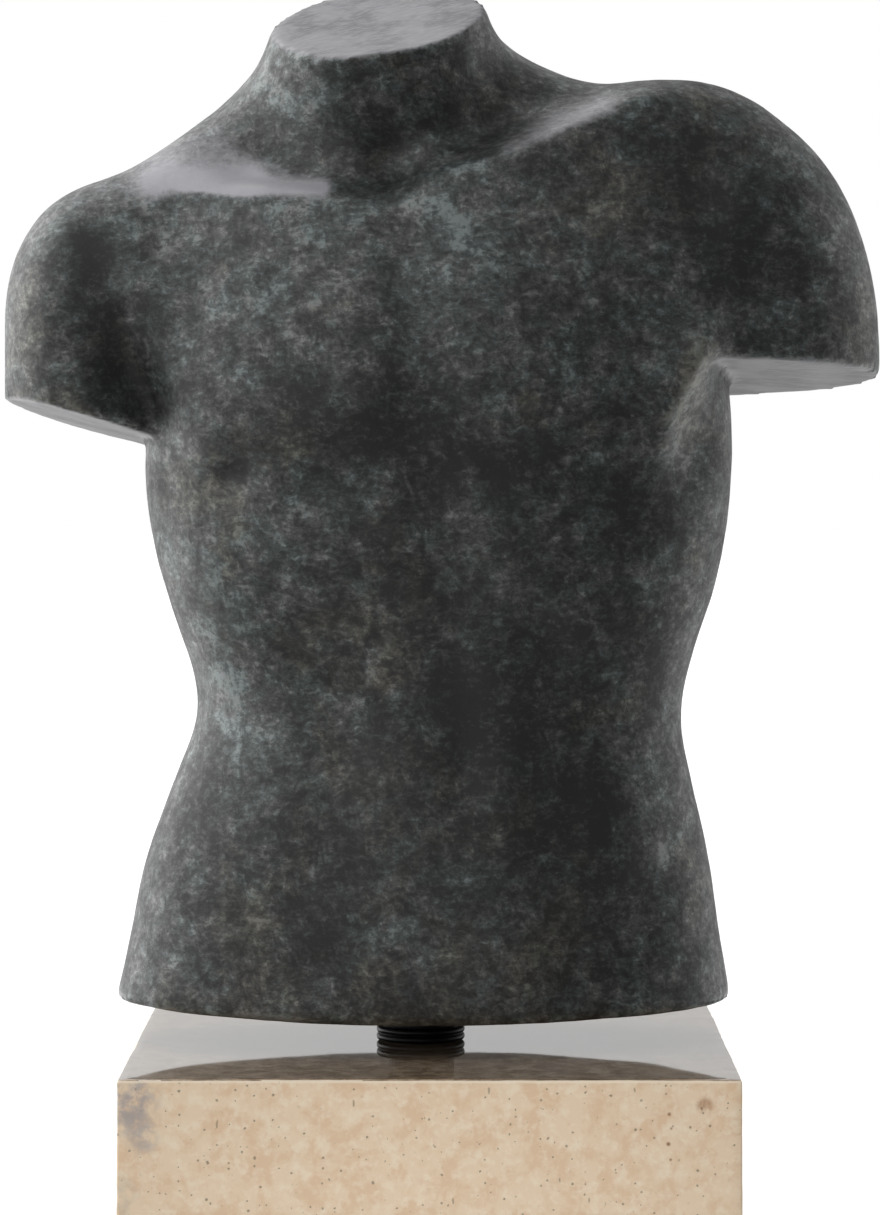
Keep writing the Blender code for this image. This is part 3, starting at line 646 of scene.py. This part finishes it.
@dataclass(frozen=True)
class Limestone:
    """Beige fossil limestone: cream and pink clouds, many tiny specks and short shell marks."""

    polish: Polish
    beige: str = "#e2cbae"
    pink: str = "#dabd9d"
    cream: str = "#ecdec8"
    speck_hues: tuple[str, str] = ("#7f705a", "#6d6a5c")
    wet_and_shaded: str = "#88735d"
    clouds: Mottle = Mottle(11.0, 5.0, 0.66, 0.0, 0.2)
    grain: Mottle = Mottle(6.0, 4.0, 0.66, 3.0, 0.6)
    flecks: Mottle = Mottle(5.0, 5.0, 0.66, 1.0, 0.15)
    pits: Mottle = Mottle(2.2, 3.0, 0.66)
    ragged: Mottle = Mottle(0.9, 2.0, 0.66)
    bend: Mottle = Mottle(9.0, 2.0, 0.66, 2.0)
    bend_mm: float = 3.0
    pink_share: Ramp = Ramp(0.44, 0.6)
    cream_share: Ramp = Ramp(0.46, 0.68, 0.0, 0.55)
    # real pores go down to 0.3 mm; the smallest are drawn a little larger, so that they show
    specks: tuple[Specks, ...] = (Specks(2.2, 0.23), Specks(4.6, 0.15))
    speck_chance: float = 0.35
    speck_edge: Ramp = Ramp(0.0, 0.05)
    speck_share: Ramp = Ramp(0.0, 1.0, 0.15, 0.75)
    speck_roughness: float = 0.2
    shells: Strokes = Strokes((3.2, 3.2, 11.0), 0.0)
    shell_size: Ramp = Ramp(0.62, 1.0, 0.0, 0.16)
    shell_edge: Ramp = Ramp(0.0, 0.05, 0.0, 0.6)
    stain_breaks: Ramp = Ramp(0.8, 1.15)
    stain_core: float = 0.35
    # the painted highlight along the top arris: how far below the top it starts and ends, and its
    # share
    arris_mm: tuple[float, float] = (1.3, 0.65)
    arris_highlight_share: float = 0.8
    grain_range: tuple[float, float] = (0.4, 0.6)
    wax_roughness: float = 0.03
    relief_mm: float = 0.25
    stains: tuple[Stain, ...] = (
        Stain("#a39a97", (-107.0, -111.0, 92.0), 15.0, 0.9),
        Stain("#a79d98", (-101.0, -111.0, 80.0), 8.0, 0.7),
        Stain("#b0a392", (-112.0, -111.0, 58.0), 12.0, 0.5),
        Stain("#9a6a41", (97.0, -111.0, 91.0), 4.0, 0.8),
        Stain("#8a5c38", (84.5, -111.0, 88.0), 1.1, 1.0, clean=True),
        Stain("#8a5c38", (85.2, -111.0, 83.0), 0.9, 1.0, clean=True),
        Stain("#8a5c38", (84.2, -111.0, 77.5), 1.2, 1.0, clean=True),
        Stain("#8a5c38", (85.0, -111.0, 72.0), 0.9, 1.0, clean=True),
    )

    def speckled(self, tree: NodeTree, place: Source, ragged: Source,
                 colour: Source) -> tuple[Source, Source]:
        """Lay specks and pores, each of its own size and hue, over the stone.

        Args:
            tree: node tree that takes the nodes.
            place: the place on the object.
            ragged: noise that makes the dots uneven.
            colour: colour of the stone.

        Returns:
            The new colour, and how much of a dot lies at each place.
        """
        dots = 0.0
        for specks in self.specks:
            cells = add(tree, CELLS, {"Vector": place, "Scale": per_metre(specks.spacing_mm)})
            parts = add(tree, PARTS, {0: cells.outputs["Color"]}).outputs
            size = Ramp(self.speck_chance, 1.0, 0.0, 2.0 * specks.radius)
            size = add(tree, RAMP, size.at(parts[0]), **SMOOTH)
            size = add(tree, MATH, {0: size, 1: ragged}, operation="MULTIPLY")
            within = add(tree, MATH, {0: size, 1: cells.outputs["Distance"]}, operation="SUBTRACT")
            edge = add(tree, RAMP, self.speck_edge.at(within), **SMOOTH)
            share = add(tree, RAMP, self.speck_share.at(parts[1]), **SMOOTH)
            dot = add(tree, MATH, {0: edge, 1: share}, operation="MULTIPLY")
            warm, grey = self.speck_hues
            hue = add(tree, MIX, {0: parts[2], 6: warm, 7: grey}, **COLOURS)
            colour = add(tree, MIX, {0: dot, 6: colour, 7: hue}, **COLOURS)
            dots = add(tree, MATH, {0: dot, 1: dots}, operation="ADD")
        return colour, dots

    def shelled(self, tree: NodeTree, place: Source, bend: Source, colour: Source) -> Node:
        """Lay short marks where a shell is cut through, mostly upright and a little bent.

        Args:
            tree: node tree that takes the nodes.
            place: the place on the object.
            bend: noise that bends the marks.
            colour: colour of the stone.

        Returns:
            The new colour.
        """
        bent = add(tree, VECTOR, {0: bend, "Scale": self.bend_mm * MM}, operation="SCALE")
        bent = add(tree, VECTOR, {0: place, 1: bent})
        laid = add(tree, LAYING, self.shells.laid(bent), **STRETCHED)
        cells = add(tree, CELLS, {"Vector": laid, "Scale": 1.0})
        chance = add(tree, PARTS, {0: cells.outputs["Color"]})
        size = add(tree, RAMP, self.shell_size.at(chance), **SMOOTH)
        within = add(tree, MATH, {0: size, 1: cells.outputs["Distance"]}, operation="SUBTRACT")
        share = add(tree, RAMP, self.shell_edge.at(within), **SMOOTH)
        return add(tree, MIX, {0: share, 6: colour, 7: self.speck_hues[0]}, **COLOURS)

    def stained(self, tree: NodeTree, place: Source, pattern: Source, colour: Source) -> Source:
        """Lay the stains over the stone, the larger ones broken up by its own pattern.

        Args:
            tree: node tree that takes the nodes.
            place: the place on the object.
            pattern: the stone's pattern.
            colour: colour of the stone.

        Returns:
            The new colour.
        """
        broken = add(tree, RAMP, self.stain_breaks.at(pattern), **SMOOTH)
        for stain in self.stains:
            centre = tuple(value * MM for value in stain.place)
            away = add(tree, VECTOR, {0: place, 1: centre}, operation="DISTANCE")
            fade = Ramp(self.stain_core * stain.reach * MM, stain.reach * MM, stain.share, 0.0)
            share = add(tree, RAMP, fade.at(away), **SMOOTH)
            if not stain.clean:
                share = add(tree, MATH, {0: share, 1: broken}, operation="MULTIPLY")
            colour = add(tree, MIX, {0: share, 6: colour, 7: stain.colour}, **COLOURS)
        return colour

    def build(self) -> Material:
        """Make the material.

        Returns:
            The finished material.
        """
        title, roughness, relief, darkening, wax = self.polish.value
        made, place = start_material(title)
        tree = made.node_tree
        drawn = draw_mottles(tree, place, self)
        share = add(tree, RAMP, self.pink_share.at(drawn["clouds"]), **SMOOTH)
        colour = add(tree, MIX, {0: share, 6: self.beige, 7: self.pink}, **COLOURS)
        share = add(tree, RAMP, self.cream_share.at(drawn["flecks"]), **SMOOTH)
        colour = add(tree, MIX, {0: share, 6: colour, 7: self.cream}, **COLOURS)
        colour, dots = self.speckled(tree, place, drawn["ragged"], colour)
        colour = self.shelled(tree, place, drawn["bend"], colour)
        pattern = add(tree, MATH, {0: drawn["clouds"], 1: drawn["flecks"]}, operation="ADD")
        colour = self.stained(tree, place, pattern, colour)
        if self.polish is Polish.HONED:
            # painted highlight: a paler cream line along the top arris, where its bevel catches the
            # light
            height = add(tree, "ShaderNodeSeparateXYZ", {0: place}).outputs["Z"]
            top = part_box("plinth")[1].z
            start, end = (top - reach * MM for reach in self.arris_mm)
            arris = Ramp(start, end, 0.0, self.arris_highlight_share)
            share = add(tree, RAMP, arris.at(height), **SMOOTH)
            colour = add(tree, MIX, {0: share, 6: colour, 7: self.cream}, **COLOURS)
        else:
            # a polished face lets light in and so looks darker, as if damp; this darkening is also
            # painted shade, which stands in for the shade that the torso casts on the top
            depth = Ramp(*self.grain_range, darkening, 2.0 * darkening)
            share = add(tree, RAMP, depth.at(drawn["grain"]), **SMOOTH)
            colour = add(tree, MIX, {0: share, 6: colour, 7: self.wet_and_shaded}, **COLOURS)
        height = add(tree, MATH, {0: drawn["pits"], 1: dots}, operation="SUBTRACT")
        bump = add(tree, "ShaderNodeBump", {
            "Strength": relief, "Distance": self.relief_mm * MM, "Height": height,
        })
        rough = add(tree, MATH, {0: dots, 1: self.speck_roughness, 2: roughness},
                    operation="MULTIPLY_ADD")
        shader = add(tree, "ShaderNodeBsdfPrincipled", {
            "Base Color": colour, "Roughness": rough, "Normal": bump,
            "Coat Weight": wax, "Coat Roughness": self.wax_roughness,
        })
        add(tree, "ShaderNodeOutputMaterial", {"Surface": shader})
        return made


# ---------------------------------------------------------------- pieces
@dataclass(frozen=True)
class Cut:
    """One flat end of the casting: a point on it, the way it faces and how far it reaches."""

    point_mm: tuple[float, float, float]
    facing: tuple[float, float, float]
    reach_mm: float

    # the skin belongs to the end where it faces the same way and lies near its plane
    TURNED: ClassVar[tuple[float, float]] = (0.72, 0.92)
    OFF_PLANE_MM: ClassVar[tuple[float, float]] = (2.6, 1.2)
    RIM_MM: ClassVar[float] = 3.0

    def cover(self, places: np.ndarray, normals: np.ndarray) -> np.ndarray:
        """Tell how far each point lies on this end.

        Args:
            places: rows of x, y and z in metres.
            normals: normals at the same points.

        Returns:
            One share for each point, with a soft rim.
        """
        facing = np.array(self.facing) / np.linalg.norm(self.facing)
        offset = places - np.array(self.point_mm) * MM
        gap = np.abs(offset @ facing) / MM
        reach = np.linalg.norm(offset, axis=1) / MM
        share = smoothstep(*self.TURNED, normals @ facing) * smoothstep(*self.OFF_PLANE_MM, gap)
        return share * smoothstep(self.reach_mm, self.reach_mm - self.RIM_MM, reach)


@dataclass
class Torso:
    """The cast body: the solid's own form on a fine even net, with its relief and its cut ends."""

    merge_mm: float = 0.001
    join_angle: float = math.radians(50.0)
    rim_angle: float = math.radians(38.0)
    rounding: int = 2
    net_mm: float = 1.95
    softening: int = 3
    wave_mm: tuple[float, float] = (34.0, 0.28)
    lump_mm: tuple[float, float] = (13.0, 0.14)
    tool_mm: tuple[float, float] = (6.0, 0.07)
    lump_seed: float = 7.3
    crest_rounds: int = 24
    patches: tuple[Patch, ...] = (
        Patch(Tone.DARK_PATINA_AND_SHADE, (30, 285), (22, 180), 42, 0.95),
        # painted shade under the lower edge of the chest
        Patch(Tone.DARK_PATINA_AND_SHADE, (-42, 333), (40, 316), 12, 1.2),
        Patch(Tone.DARK_PATINA_AND_SHADE, (9, 236), (41, 228), 11, 1.2),
        Patch(Tone.DARK_PATINA_AND_SHADE, (12, 215), (17, 212), 7, 1.2),
        Patch(Tone.DARK_PATINA_AND_SHADE, (54, 196), (62, 192), 12, 1.3),
        Patch(Tone.DARK_PATINA_AND_SHADE, (20, 214), (34, 208), 10, 0.9),
        Patch(Tone.DARK_PATINA_AND_SHADE, (-58, 172), (-44, 150), 13, 0.8),
        Patch(Tone.DARK_PATINA_AND_SHADE, (48, 170), (62, 140), 14, 0.7),
        # painted shade under the rib arch
        Patch(Tone.DARK_PATINA_AND_SHADE, (68, 258), (77, 259), 8, 1.2),
        # painted shade on the front of the neck
        Patch(Tone.DARK_PATINA_AND_SHADE, (-30, 441), (5, 446), 9, 1),
        # painted shade on the right shoulder, the side turned away from the light
        Patch(Tone.DARK_PATINA_AND_SHADE, (88, 414), (112, 396), 20, 1),
        # painted shade in the crease between the left shoulder and the chest
        Patch(Tone.DARK_PATINA_AND_SHADE, (-126, 398), (-113, 345), 7, 1.7),
        Patch(Tone.DARK_PATINA_AND_SHADE, (-84, 205), (-80, 170), 12, 0.9),
        # painted shade in the dents at the nipples
        Patch(Tone.PIT, (-72, 315), (-69, 314), 6, 1.3),
        Patch(Tone.PIT, (22, 314), (29, 312), 4, 0.7),
        # painted highlight on the left ribs
        Patch(Tone.PALE_PATINA_AND_HIGHLIGHT, (-78, 300), (-72, 284), 16, 1),
        Patch(Tone.PALE_PATINA_AND_HIGHLIGHT, (-84, 262), (-62, 208), 18, 0.4),
        Patch(Tone.PALE_PATINA_AND_HIGHLIGHT, (-140, 410), (-136, 385), 12, 0.7),
        Patch(Tone.PALE_PATINA_AND_HIGHLIGHT, (6, 410), (16, 385), 14, 0.8),
        # painted highlight on the side of the chest beside the left shoulder crease
        Patch(Tone.PALE_PATINA_AND_HIGHLIGHT, (-104, 402), (-90, 380), 14, 0.7),
        Patch(Tone.PALE_PATINA_AND_HIGHLIGHT, (-20, 150), (25, 146), 12, 0.5),
        Patch(Tone.PALE_PATINA_AND_HIGHLIGHT, (-60, 462), (-48, 448), 12, 0.9),
        # painted highlight along the fold of the right armpit
        Patch(Tone.RIDGE_HIGHLIGHT, (100, 358), (93, 350), 5, 0.9),
        Patch(Tone.RIDGE_HIGHLIGHT, (93, 348), (87, 334), 5, 1),
        Patch(Tone.RIDGE_HIGHLIGHT, (87, 332), (82, 320), 4, 0.7),
        Patch(Tone.PALE_PATINA_AND_HIGHLIGHT, (105, 344), (99, 318), 9, 0.7),
        Patch(Tone.OCHRE, (-18, 290), (-12, 238), 14, 0.9),
        Patch(Tone.OCHRE, (100, 340), (96, 326), 9, 0.9),
        Patch(Tone.OCHRE, (-114, 362), (-108, 345), 8, 1),
        Patch(Tone.OCHRE, (-16, 427), (-13, 421), 9, 1),
        Patch(Tone.OCHRE, (36, 192), (41, 182), 12, 0.8),
        Patch(Tone.OCHRE, (-72, 154), (-64, 152), 10, 0.8),
        Patch(Tone.MINT, (4, 407), (10, 398), 7, 0.9),
        Patch(Tone.MINT, (10, 168), (16, 167), 8, 0.7),
        Patch(Tone.MINT, (-28, 145), (-10, 143), 7, 0.7),
        Patch(Tone.MINT, (-42, 234), (-37, 231), 9, 0.7),
        Patch(Tone.MINT, (21, 251), (23, 247), 6, 0.7),
        Patch(Tone.TEAL, (10, 392), (16, 380), 14, 0.8),
        Patch(Tone.TEAL, (-78, 278), (-74, 264), 12, 0.8),
        Patch(Tone.TEAL, (-80, 232), (-66, 206), 14, 0.8),
        Patch(Tone.TEAL, (116, 420), (122, 416), 8, 0.9),
        # painted highlight on the up-facing shelf above the left collar bone and along its edge,
        # laid as rubbed pale metal
        Patch(Tone.BARE_AND_HIGHLIGHT, (-128, 419), (-106, 424), 9, 0.3),
        Patch(Tone.BARE_AND_HIGHLIGHT, (-102, 421), (-68, 421), 6, 0.95),
        Patch(Tone.BARE_AND_HIGHLIGHT, (-98, 430), (-68, 432), 12, 0.6),
        Patch(Tone.BARE_AND_HIGHLIGHT, (-72, 421), (-40, 419), 4, 0.7),
        Patch(Tone.BARE_AND_HIGHLIGHT, (-92, 419.5), (-40, 417.5), 2.8, 0.8),
        # painted highlight along the right collar bone, laid as rubbed pale metal
        Patch(Tone.BARE_AND_HIGHLIGHT, (30, 433), (64, 449), 5, 0.4),
        Patch(Tone.BARE_AND_HIGHLIGHT, (46, 443), (66, 452), 8, 0.3),
    )
    cuts: tuple[Cut, ...] = (
        Cut((-20, -8, 483), (-0.123, -0.42, 1), 60),
        Cut((-130, 0, 332.6), (-0.265, -0.08, -1), 80),
        Cut((130, 0, 349.2), (0, -0.13, -1), 80),
    )

    def skin(self) -> Object:
        """Round the solid's surface and lay a fine even net over it.

        Returns:
            The new piece, without relief.
        """
        net = bmesh.new()
        net.from_mesh(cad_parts["torso"].data)
        bmesh.ops.remove_doubles(net, verts=net.verts, dist=self.merge_mm * MM)
        bmesh.ops.join_triangles(
            net, faces=net.faces, angle_face_threshold=self.join_angle,
            angle_shape_threshold=self.join_angle,
        )
        crease = net.edges.layers.float.new("crease_edge")
        for edge in net.edges:
            if edge.calc_face_angle(0.0) > self.rim_angle:
                edge[crease] = 1.0
        body = object_from("bronze_torso", net)
        rounding = body.modifiers.new("rounding", "SUBSURF")
        rounding.levels = self.rounding
        rounding.render_levels = self.rounding
        even = body.modifiers.new("even_net", "REMESH")
        even.mode = "VOXEL"
        even.voxel_size = self.net_mm * MM
        even.use_smooth_shade = True
        soften = body.modifiers.new("soften", "SMOOTH")
        soften.factor = 0.5
        soften.iterations = self.softening
        apply_modifiers(body)
        return body

    def relief(self, body: Object) -> None:
        """Give the surface the slight waves, lumps and tool marks of a modelled cast.

        Args:
            body: the piece from skin().
        """
        places = rows_of(body.data)
        distance = np.zeros(len(places))
        layers = (self.wave_mm, self.lump_mm, self.tool_mm)
        for number, (size, height) in enumerate(layers, start=1):
            distance += height * MM * lumps(places, size, self.lump_seed * number)
        facing = rows_of(body.data, normals=True)
        for patch in self.patches:
            rise = patch.tone.value[-1]
            if rise:
                distance += rise * MM * patch.cover(places, facing)
        move_out(body.data, distance)

    def dress(self, body: Object) -> None:
        """Put the patina, with its painted shade and highlights, on the skin and the filed finish
        on the cut ends.

        Args:
            body: the piece with its relief.
        """
        mesh = body.data
        paint(mesh, "crest", crest_of(mesh, self.crest_rounds))
        places, facing = rows_of(mesh), rows_of(mesh, normals=True)
        for number, name in enumerate(CHANNELS):
            paint(mesh, name, sum(
                patch.tone.value[number] * patch.cover(places, facing) for patch in self.patches
            ))
        paint(mesh, "filed", np.max([cut.cover(places, facing) for cut in self.cuts], axis=0))
        mesh.materials.clear()
        mesh.materials.append(PatinatedBronze().build())

    def build(self) -> Object:
        """Make the finished torso.

        Returns:
            The piece, riding on the root in place of its solid.
        """
        body = self.skin()
        self.relief(body)
        self.dress(body)
        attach(body, "root")
        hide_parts("torso")
        return body


@dataclass
class RodAndCollar:
    """The short steel rod, and the ridged ring that stands round its foot."""

    ridges: int = 2
    steps: int = 96
    arc_steps: int = 6
    groove_mm: float = 1.1
    play_mm: float = 0.2
    merge_mm: float = 0.01
    bore_wall_mm: float = 1.0
    dent_mm: tuple[float, float] = (5.0, 0.12)
    dent_seed: float = 3.1

    def collar(self, steel: Material) -> Object:
        """Turn the ring from its section: two rounded ridges with a groove between them.

        Args:
            steel: material of the ring.

        Returns:
            The new piece.
        """
        low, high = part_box("rod_collar")
        rod_low, rod_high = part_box("mounting_rod")
        centre = (low + high) / 2
        outer = (high.x - low.x) / 2
        inner = (rod_high.x - rod_low.x) / 2 + self.play_mm * MM
        height = high.z - low.z
        ridge = height / self.ridges
        section = [(inner, 0.0)]
        for number in range(self.ridges):
            for step in range(self.arc_steps + 1):
                turn = math.pi * (step / self.arc_steps - 0.5)
                radius = outer - self.groove_mm * MM * (1.0 - math.cos(turn))
                section.append((radius, ridge * (number + 0.5 + 0.5 * math.sin(turn))))
        section.append((inner, height))
        net = bmesh.new()
        points = [net.verts.new((centre.x + r, centre.y, low.z + z)) for r, z in section]
        lines = [net.edges.new(pair) for pair in zip(points, points[1:] + points[:1])]
        bmesh.ops.spin(
            net, geom=points + lines, cent=(centre.x, centre.y, low.z), axis=(0, 0, 1),
            angle=2 * math.pi, steps=self.steps, use_merge=True,
        )
        bmesh.ops.remove_doubles(net, verts=net.verts, dist=self.merge_mm * MM)
        bmesh.ops.recalc_face_normals(net, faces=net.faces)
        ring = object_from("steel_collar", net)
        places = rows_of(ring.data)
        radius = np.hypot(places[:, 0] - centre.x, places[:, 1] - centre.y)
        outside = radius > inner + self.bore_wall_mm * MM
        size_mm, height_mm = self.dent_mm
        move_out(ring.data, outside * height_mm * MM * lumps(places, size_mm, self.dent_seed))
        ring.data.materials.append(steel)
        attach(ring, "root")
        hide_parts("rod_collar")
        return ring

    def build(self) -> list[Object]:
        """Dress the rod and make the collar.

        Returns:
            The rod's own solid and the new collar.
        """
        steel = BlackenedSteel().build()
        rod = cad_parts["mounting_rod"]
        rod.data.materials.clear()
        rod.data.materials.append(steel)
        return [rod, self.collar(steel)]


@dataclass
class Plinth:
    """The block of stone: sawn, honed by hand on its sides and polished on top."""

    cuts: int = 55
    arris_mm: float = 1.0
    arris_steps: int = 3
    arris_angle: float = math.radians(60.0)
    inset_mm: float = 0.5
    # each wave: the size of its lumps, their height and the seed of the noise
    side_wave_mm: tuple[float, float, float] = (45.0, 0.35, 11.0)
    edge_wave_mm: tuple[float, float, float] = (7.0, 0.18, 5.0)
    top_wave_mm: tuple[float, float, float] = (30.0, 0.03, 2.0)
    edge_loss: float = 0.6
    worn_mm: float = 3.0
    foot_mm: float = 3.0
    level: float = 0.9
    polished: float = 0.8

    def block(self) -> Object:
        """Model the worn block.

        Returns:
            The new piece, without materials.
        """
        low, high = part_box("plinth")
        size = high - low
        centre = (low + high) / 2
        net = bmesh.new()
        bmesh.ops.create_cube(net, size=1.0)
        inset = 2 * self.inset_mm * MM
        bmesh.ops.scale(net, vec=(size.x - inset, size.y - inset, size.z), verts=net.verts)
        bmesh.ops.translate(net, vec=centre, verts=net.verts)
        bmesh.ops.subdivide_edges(net, edges=net.edges, cuts=self.cuts, use_grid_fill=True)
        corners = [edge for edge in net.edges if edge.calc_face_angle(0.0) > self.arris_angle]
        bmesh.ops.bevel(
            net, geom=corners, offset=self.arris_mm * MM, offset_type="OFFSET", affect="EDGES",
            segments=self.arris_steps, profile=0.5, material=-1, clamp_overlap=True,
        )
        bmesh.ops.recalc_face_normals(net, faces=net.faces)
        block = object_from("limestone_plinth", net)
        places = rows_of(block.data)
        normals = rows_of(block.data, normals=True)
        size_mm, height, seed = self.side_wave_mm
        side = height * lumps(places, size_mm, seed)
        half = np.array((size.x, size.y)) / 2 - inset / 2
        reach = np.stack((
            half[0] - np.abs(places[:, 0] - centre.x),
            half[1] - np.abs(places[:, 1] - centre.y),
            high.z - places[:, 2],
        ), axis=1)
        edge_gap = np.sort(reach, axis=1)[:, 1]
        worn = 1.0 - smoothstep(0.0, self.worn_mm * MM, edge_gap)
        size_mm, height, seed = self.edge_wave_mm
        edge = -height * worn * (self.edge_loss + lumps(places, size_mm, seed))
        size_mm, height, seed = self.top_wave_mm
        top = height * lumps(places, size_mm, seed)
        flat = np.abs(normals[:, 2]) > self.level
        standing = places[:, 2] < low.z + self.foot_mm * MM
        distance = np.where(flat, top, side) + edge
        move_out(block.data, np.where(standing, 0.0, distance * MM))
        return block

    def build(self) -> Object:
        """Make the finished plinth.

        Returns:
            The piece, riding on the root in place of its solid.
        """
        block = self.block()
        mesh = block.data
        mesh.materials.append(Limestone(Polish.HONED).build())
        mesh.materials.append(Limestone(Polish.POLISHED).build())
        for face in mesh.polygons:
            face.material_index = 1 if face.normal.z > self.polished else 0
        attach(block, "root")
        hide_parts("plinth")
        return block


# ---------------------------------------------------------------- studio
@dataclass(frozen=True)
class Glow:
    """One large soft light of the room: where it stands, seen from the sculpture, and its strength.

    The bearing runs from the front (0) over the sculpture's left (90) to its back (180).
    """

    bearing: float
    height: float
    strength: float

    def way(self) -> Vector:
        """Direction from the sculpture to the light."""
        turn, lift = math.radians(self.bearing), math.radians(self.height)
        level = math.cos(lift)
        return Vector((math.sin(turn) * level, -math.cos(turn) * level, math.sin(lift)))


@dataclass(frozen=True)
class Pool:
    """One soft pool of light on the floor: where it lies, its radius and its strength."""

    x: float
    y: float
    radius: float
    strength: float


@dataclass
class Studio:
    """White backdrop, soft round glows on all sides, a pale floor and the camera."""

    floor_side: float = 30.0
    floor_gap_mm: float = 0.1
    floor_white: str = "#f6f6f5"
    floor_bounce: str = "#898989"
    floor_lift: float = 0.3
    floor_gloss: Ramp = Ramp(0.0, 1.0, 0.22, 0.9)
    light_colour: str = "#ffffff"
    glow_spread: float = 8.0
    pools: tuple[Pool, ...] = (
        Pool(0.0, -0.3, 0.17, 1.6),
        Pool(-0.5, 0.5, 0.35, 1.2),
        Pool(0.5, 0.5, 0.35, 0.9),
        Pool(-1.0, 0.5, 0.6, 1.8),
        Pool(1.0, 0.5, 0.6, 1.1),
    )
    glows: tuple[Glow, ...] = (
        Glow(0, 3, 0.27),
        Glow(90, 3, 0.75),
        Glow(120, 3, 1),
        Glow(165, 3, 0.38),
        Glow(210, 3, 0.4),
        Glow(240, 3, 2.1),
        Glow(270, 3, 1.8),
        Glow(300, 3, 0.61),
        Glow(330, 3, 0.6),
        Glow(0, 40, 0.68),
        Glow(135, 40, 0.45),
        Glow(225, 40, 1.6),
        Glow(270, 40, 0.7),
        Glow(315, 40, 0.6),
        Glow(0, 85, 0.5),
    )
    eye: tuple[float, float, float] = (0.0058, -1.727, 0.3246)
    lens_mm: float = 135.9
    shift_x: float = -0.0049
    shift_y: float = -0.1354

    def floor(self) -> Object:
        """Lay the floor that the plinth stands on.

        Returns:
            The floor, marked as stage.
        """
        net = bmesh.new()
        bmesh.ops.create_grid(net, x_segments=1, y_segments=1, size=self.floor_side / 2)
        height = CAD_BOUNDS[0].z - self.floor_gap_mm * MM
        bmesh.ops.translate(net, vec=(0.0, 0.0, height), verts=net.verts)
        made = object_from("studio_floor", net)
        paper = bpy.data.materials.new("paper, matt white studio roll")
        paper.use_nodes = True
        tree = paper.node_tree
        tree.nodes.clear()
        place = add(tree, "ShaderNodeNewGeometry").outputs["Position"]
        lit = 0.0
        for pool in self.pools:
            away = add(tree, VECTOR, {0: place, 1: (pool.x, pool.y, 0.0)}, operation="DISTANCE")
            away = add(tree, MATH, {0: away, 1: 1.0 / pool.radius}, operation="MULTIPLY")
            fall = add(tree, MATH, {0: away, 1: away}, operation="MULTIPLY")
            fall = add(tree, MATH, {0: fall, 1: -1.0}, operation="MULTIPLY")
            fall = add(tree, MATH, {0: fall}, operation="EXPONENT")
            lit = add(tree, MATH, {0: fall, 1: pool.strength, 2: lit}, operation="MULTIPLY_ADD")
        # seen directly it is white paper; to the sculpture it is a dark sheet with pools of light
        seen = add(tree, "ShaderNodeLightPath").outputs["Is Camera Ray"]
        colour = add(tree, MIX, {0: seen, 6: self.floor_bounce, 7: self.floor_white}, **COLOURS)
        lit = add(tree, MIX, {0: seen, 2: lit, 3: self.floor_lift}, **NUMBERS)
        shader = add(tree, "ShaderNodeBsdfPrincipled", {
            "Base Color": colour, "Roughness": add(tree, RAMP, self.floor_gloss.at(seen), **SMOOTH),
            "Emission Color": self.floor_white, "Emission Strength": lit,
        })
        add(tree, "ShaderNodeOutputMaterial", {"Surface": shader})
        made.data.materials.append(paper)
        return made

    def room(self) -> World:
        """Make the lights as soft round glows, and a white backdrop that only the camera sees.

        Returns:
            The world.
        """
        world = bpy.data.worlds.new("studio_room")
        world.use_nodes = True
        tree = world.node_tree
        tree.nodes.clear()
        way = add(tree, "ShaderNodeTexCoord").outputs["Generated"]
        strength = 0.0
        for glow in self.glows:
            facing = add(tree, VECTOR, {0: way, 1: glow.way()}, operation="DOT_PRODUCT")
            fall = add(tree, MATH, {0: facing, 1: -1.0}, operation="ADD")
            fall = add(tree, MATH, {0: fall, 1: self.glow_spread}, operation="MULTIPLY")
            fall = add(tree, MATH, {0: fall}, operation="EXPONENT")
            strength = add(tree, MATH, {0: fall, 1: glow.strength, 2: strength},
                           operation="MULTIPLY_ADD")
        seen = add(tree, "ShaderNodeLightPath").outputs["Is Camera Ray"]
        strength = add(tree, MATH, {0: strength, 1: seen}, operation="MAXIMUM")
        light = {"Color": self.light_colour, "Strength": strength}
        light = add(tree, "ShaderNodeBackground", light)
        add(tree, "ShaderNodeOutputWorld", {"Surface": light})
        bpy.context.scene.world = world
        return world

    def camera(self) -> Object:
        """Place the camera, level and looking straight at the front.

        Returns:
            The camera.
        """
        data = bpy.data.cameras.new("camera")
        data.lens = self.lens_mm
        data.shift_x = self.shift_x
        data.shift_y = self.shift_y
        made = bpy.data.objects.new("camera", data)
        bpy.context.scene.collection.objects.link(made)
        made.location = self.eye
        made.rotation_euler = (math.pi / 2, 0.0, 0.0)
        bpy.context.scene.camera = made
        return made

    def build(self) -> None:
        """Make the floor, the room and the camera."""
        self.floor()
        self.room()
        self.camera()
        bpy.context.scene.view_settings.view_transform = "Standard"


def main() -> None:
    """Build the studio and the pieces."""
    logging.basicConfig(level=logging.INFO, format="%(message)s")
    Studio().build()
    pieces = [Torso().build(), *RodAndCollar().build(), Plinth().build()]
    for piece in pieces:
        LOG.info("%s: %d faces", piece.name, len(piece.data.polygons))


if __name__ == "__main__":
    main()
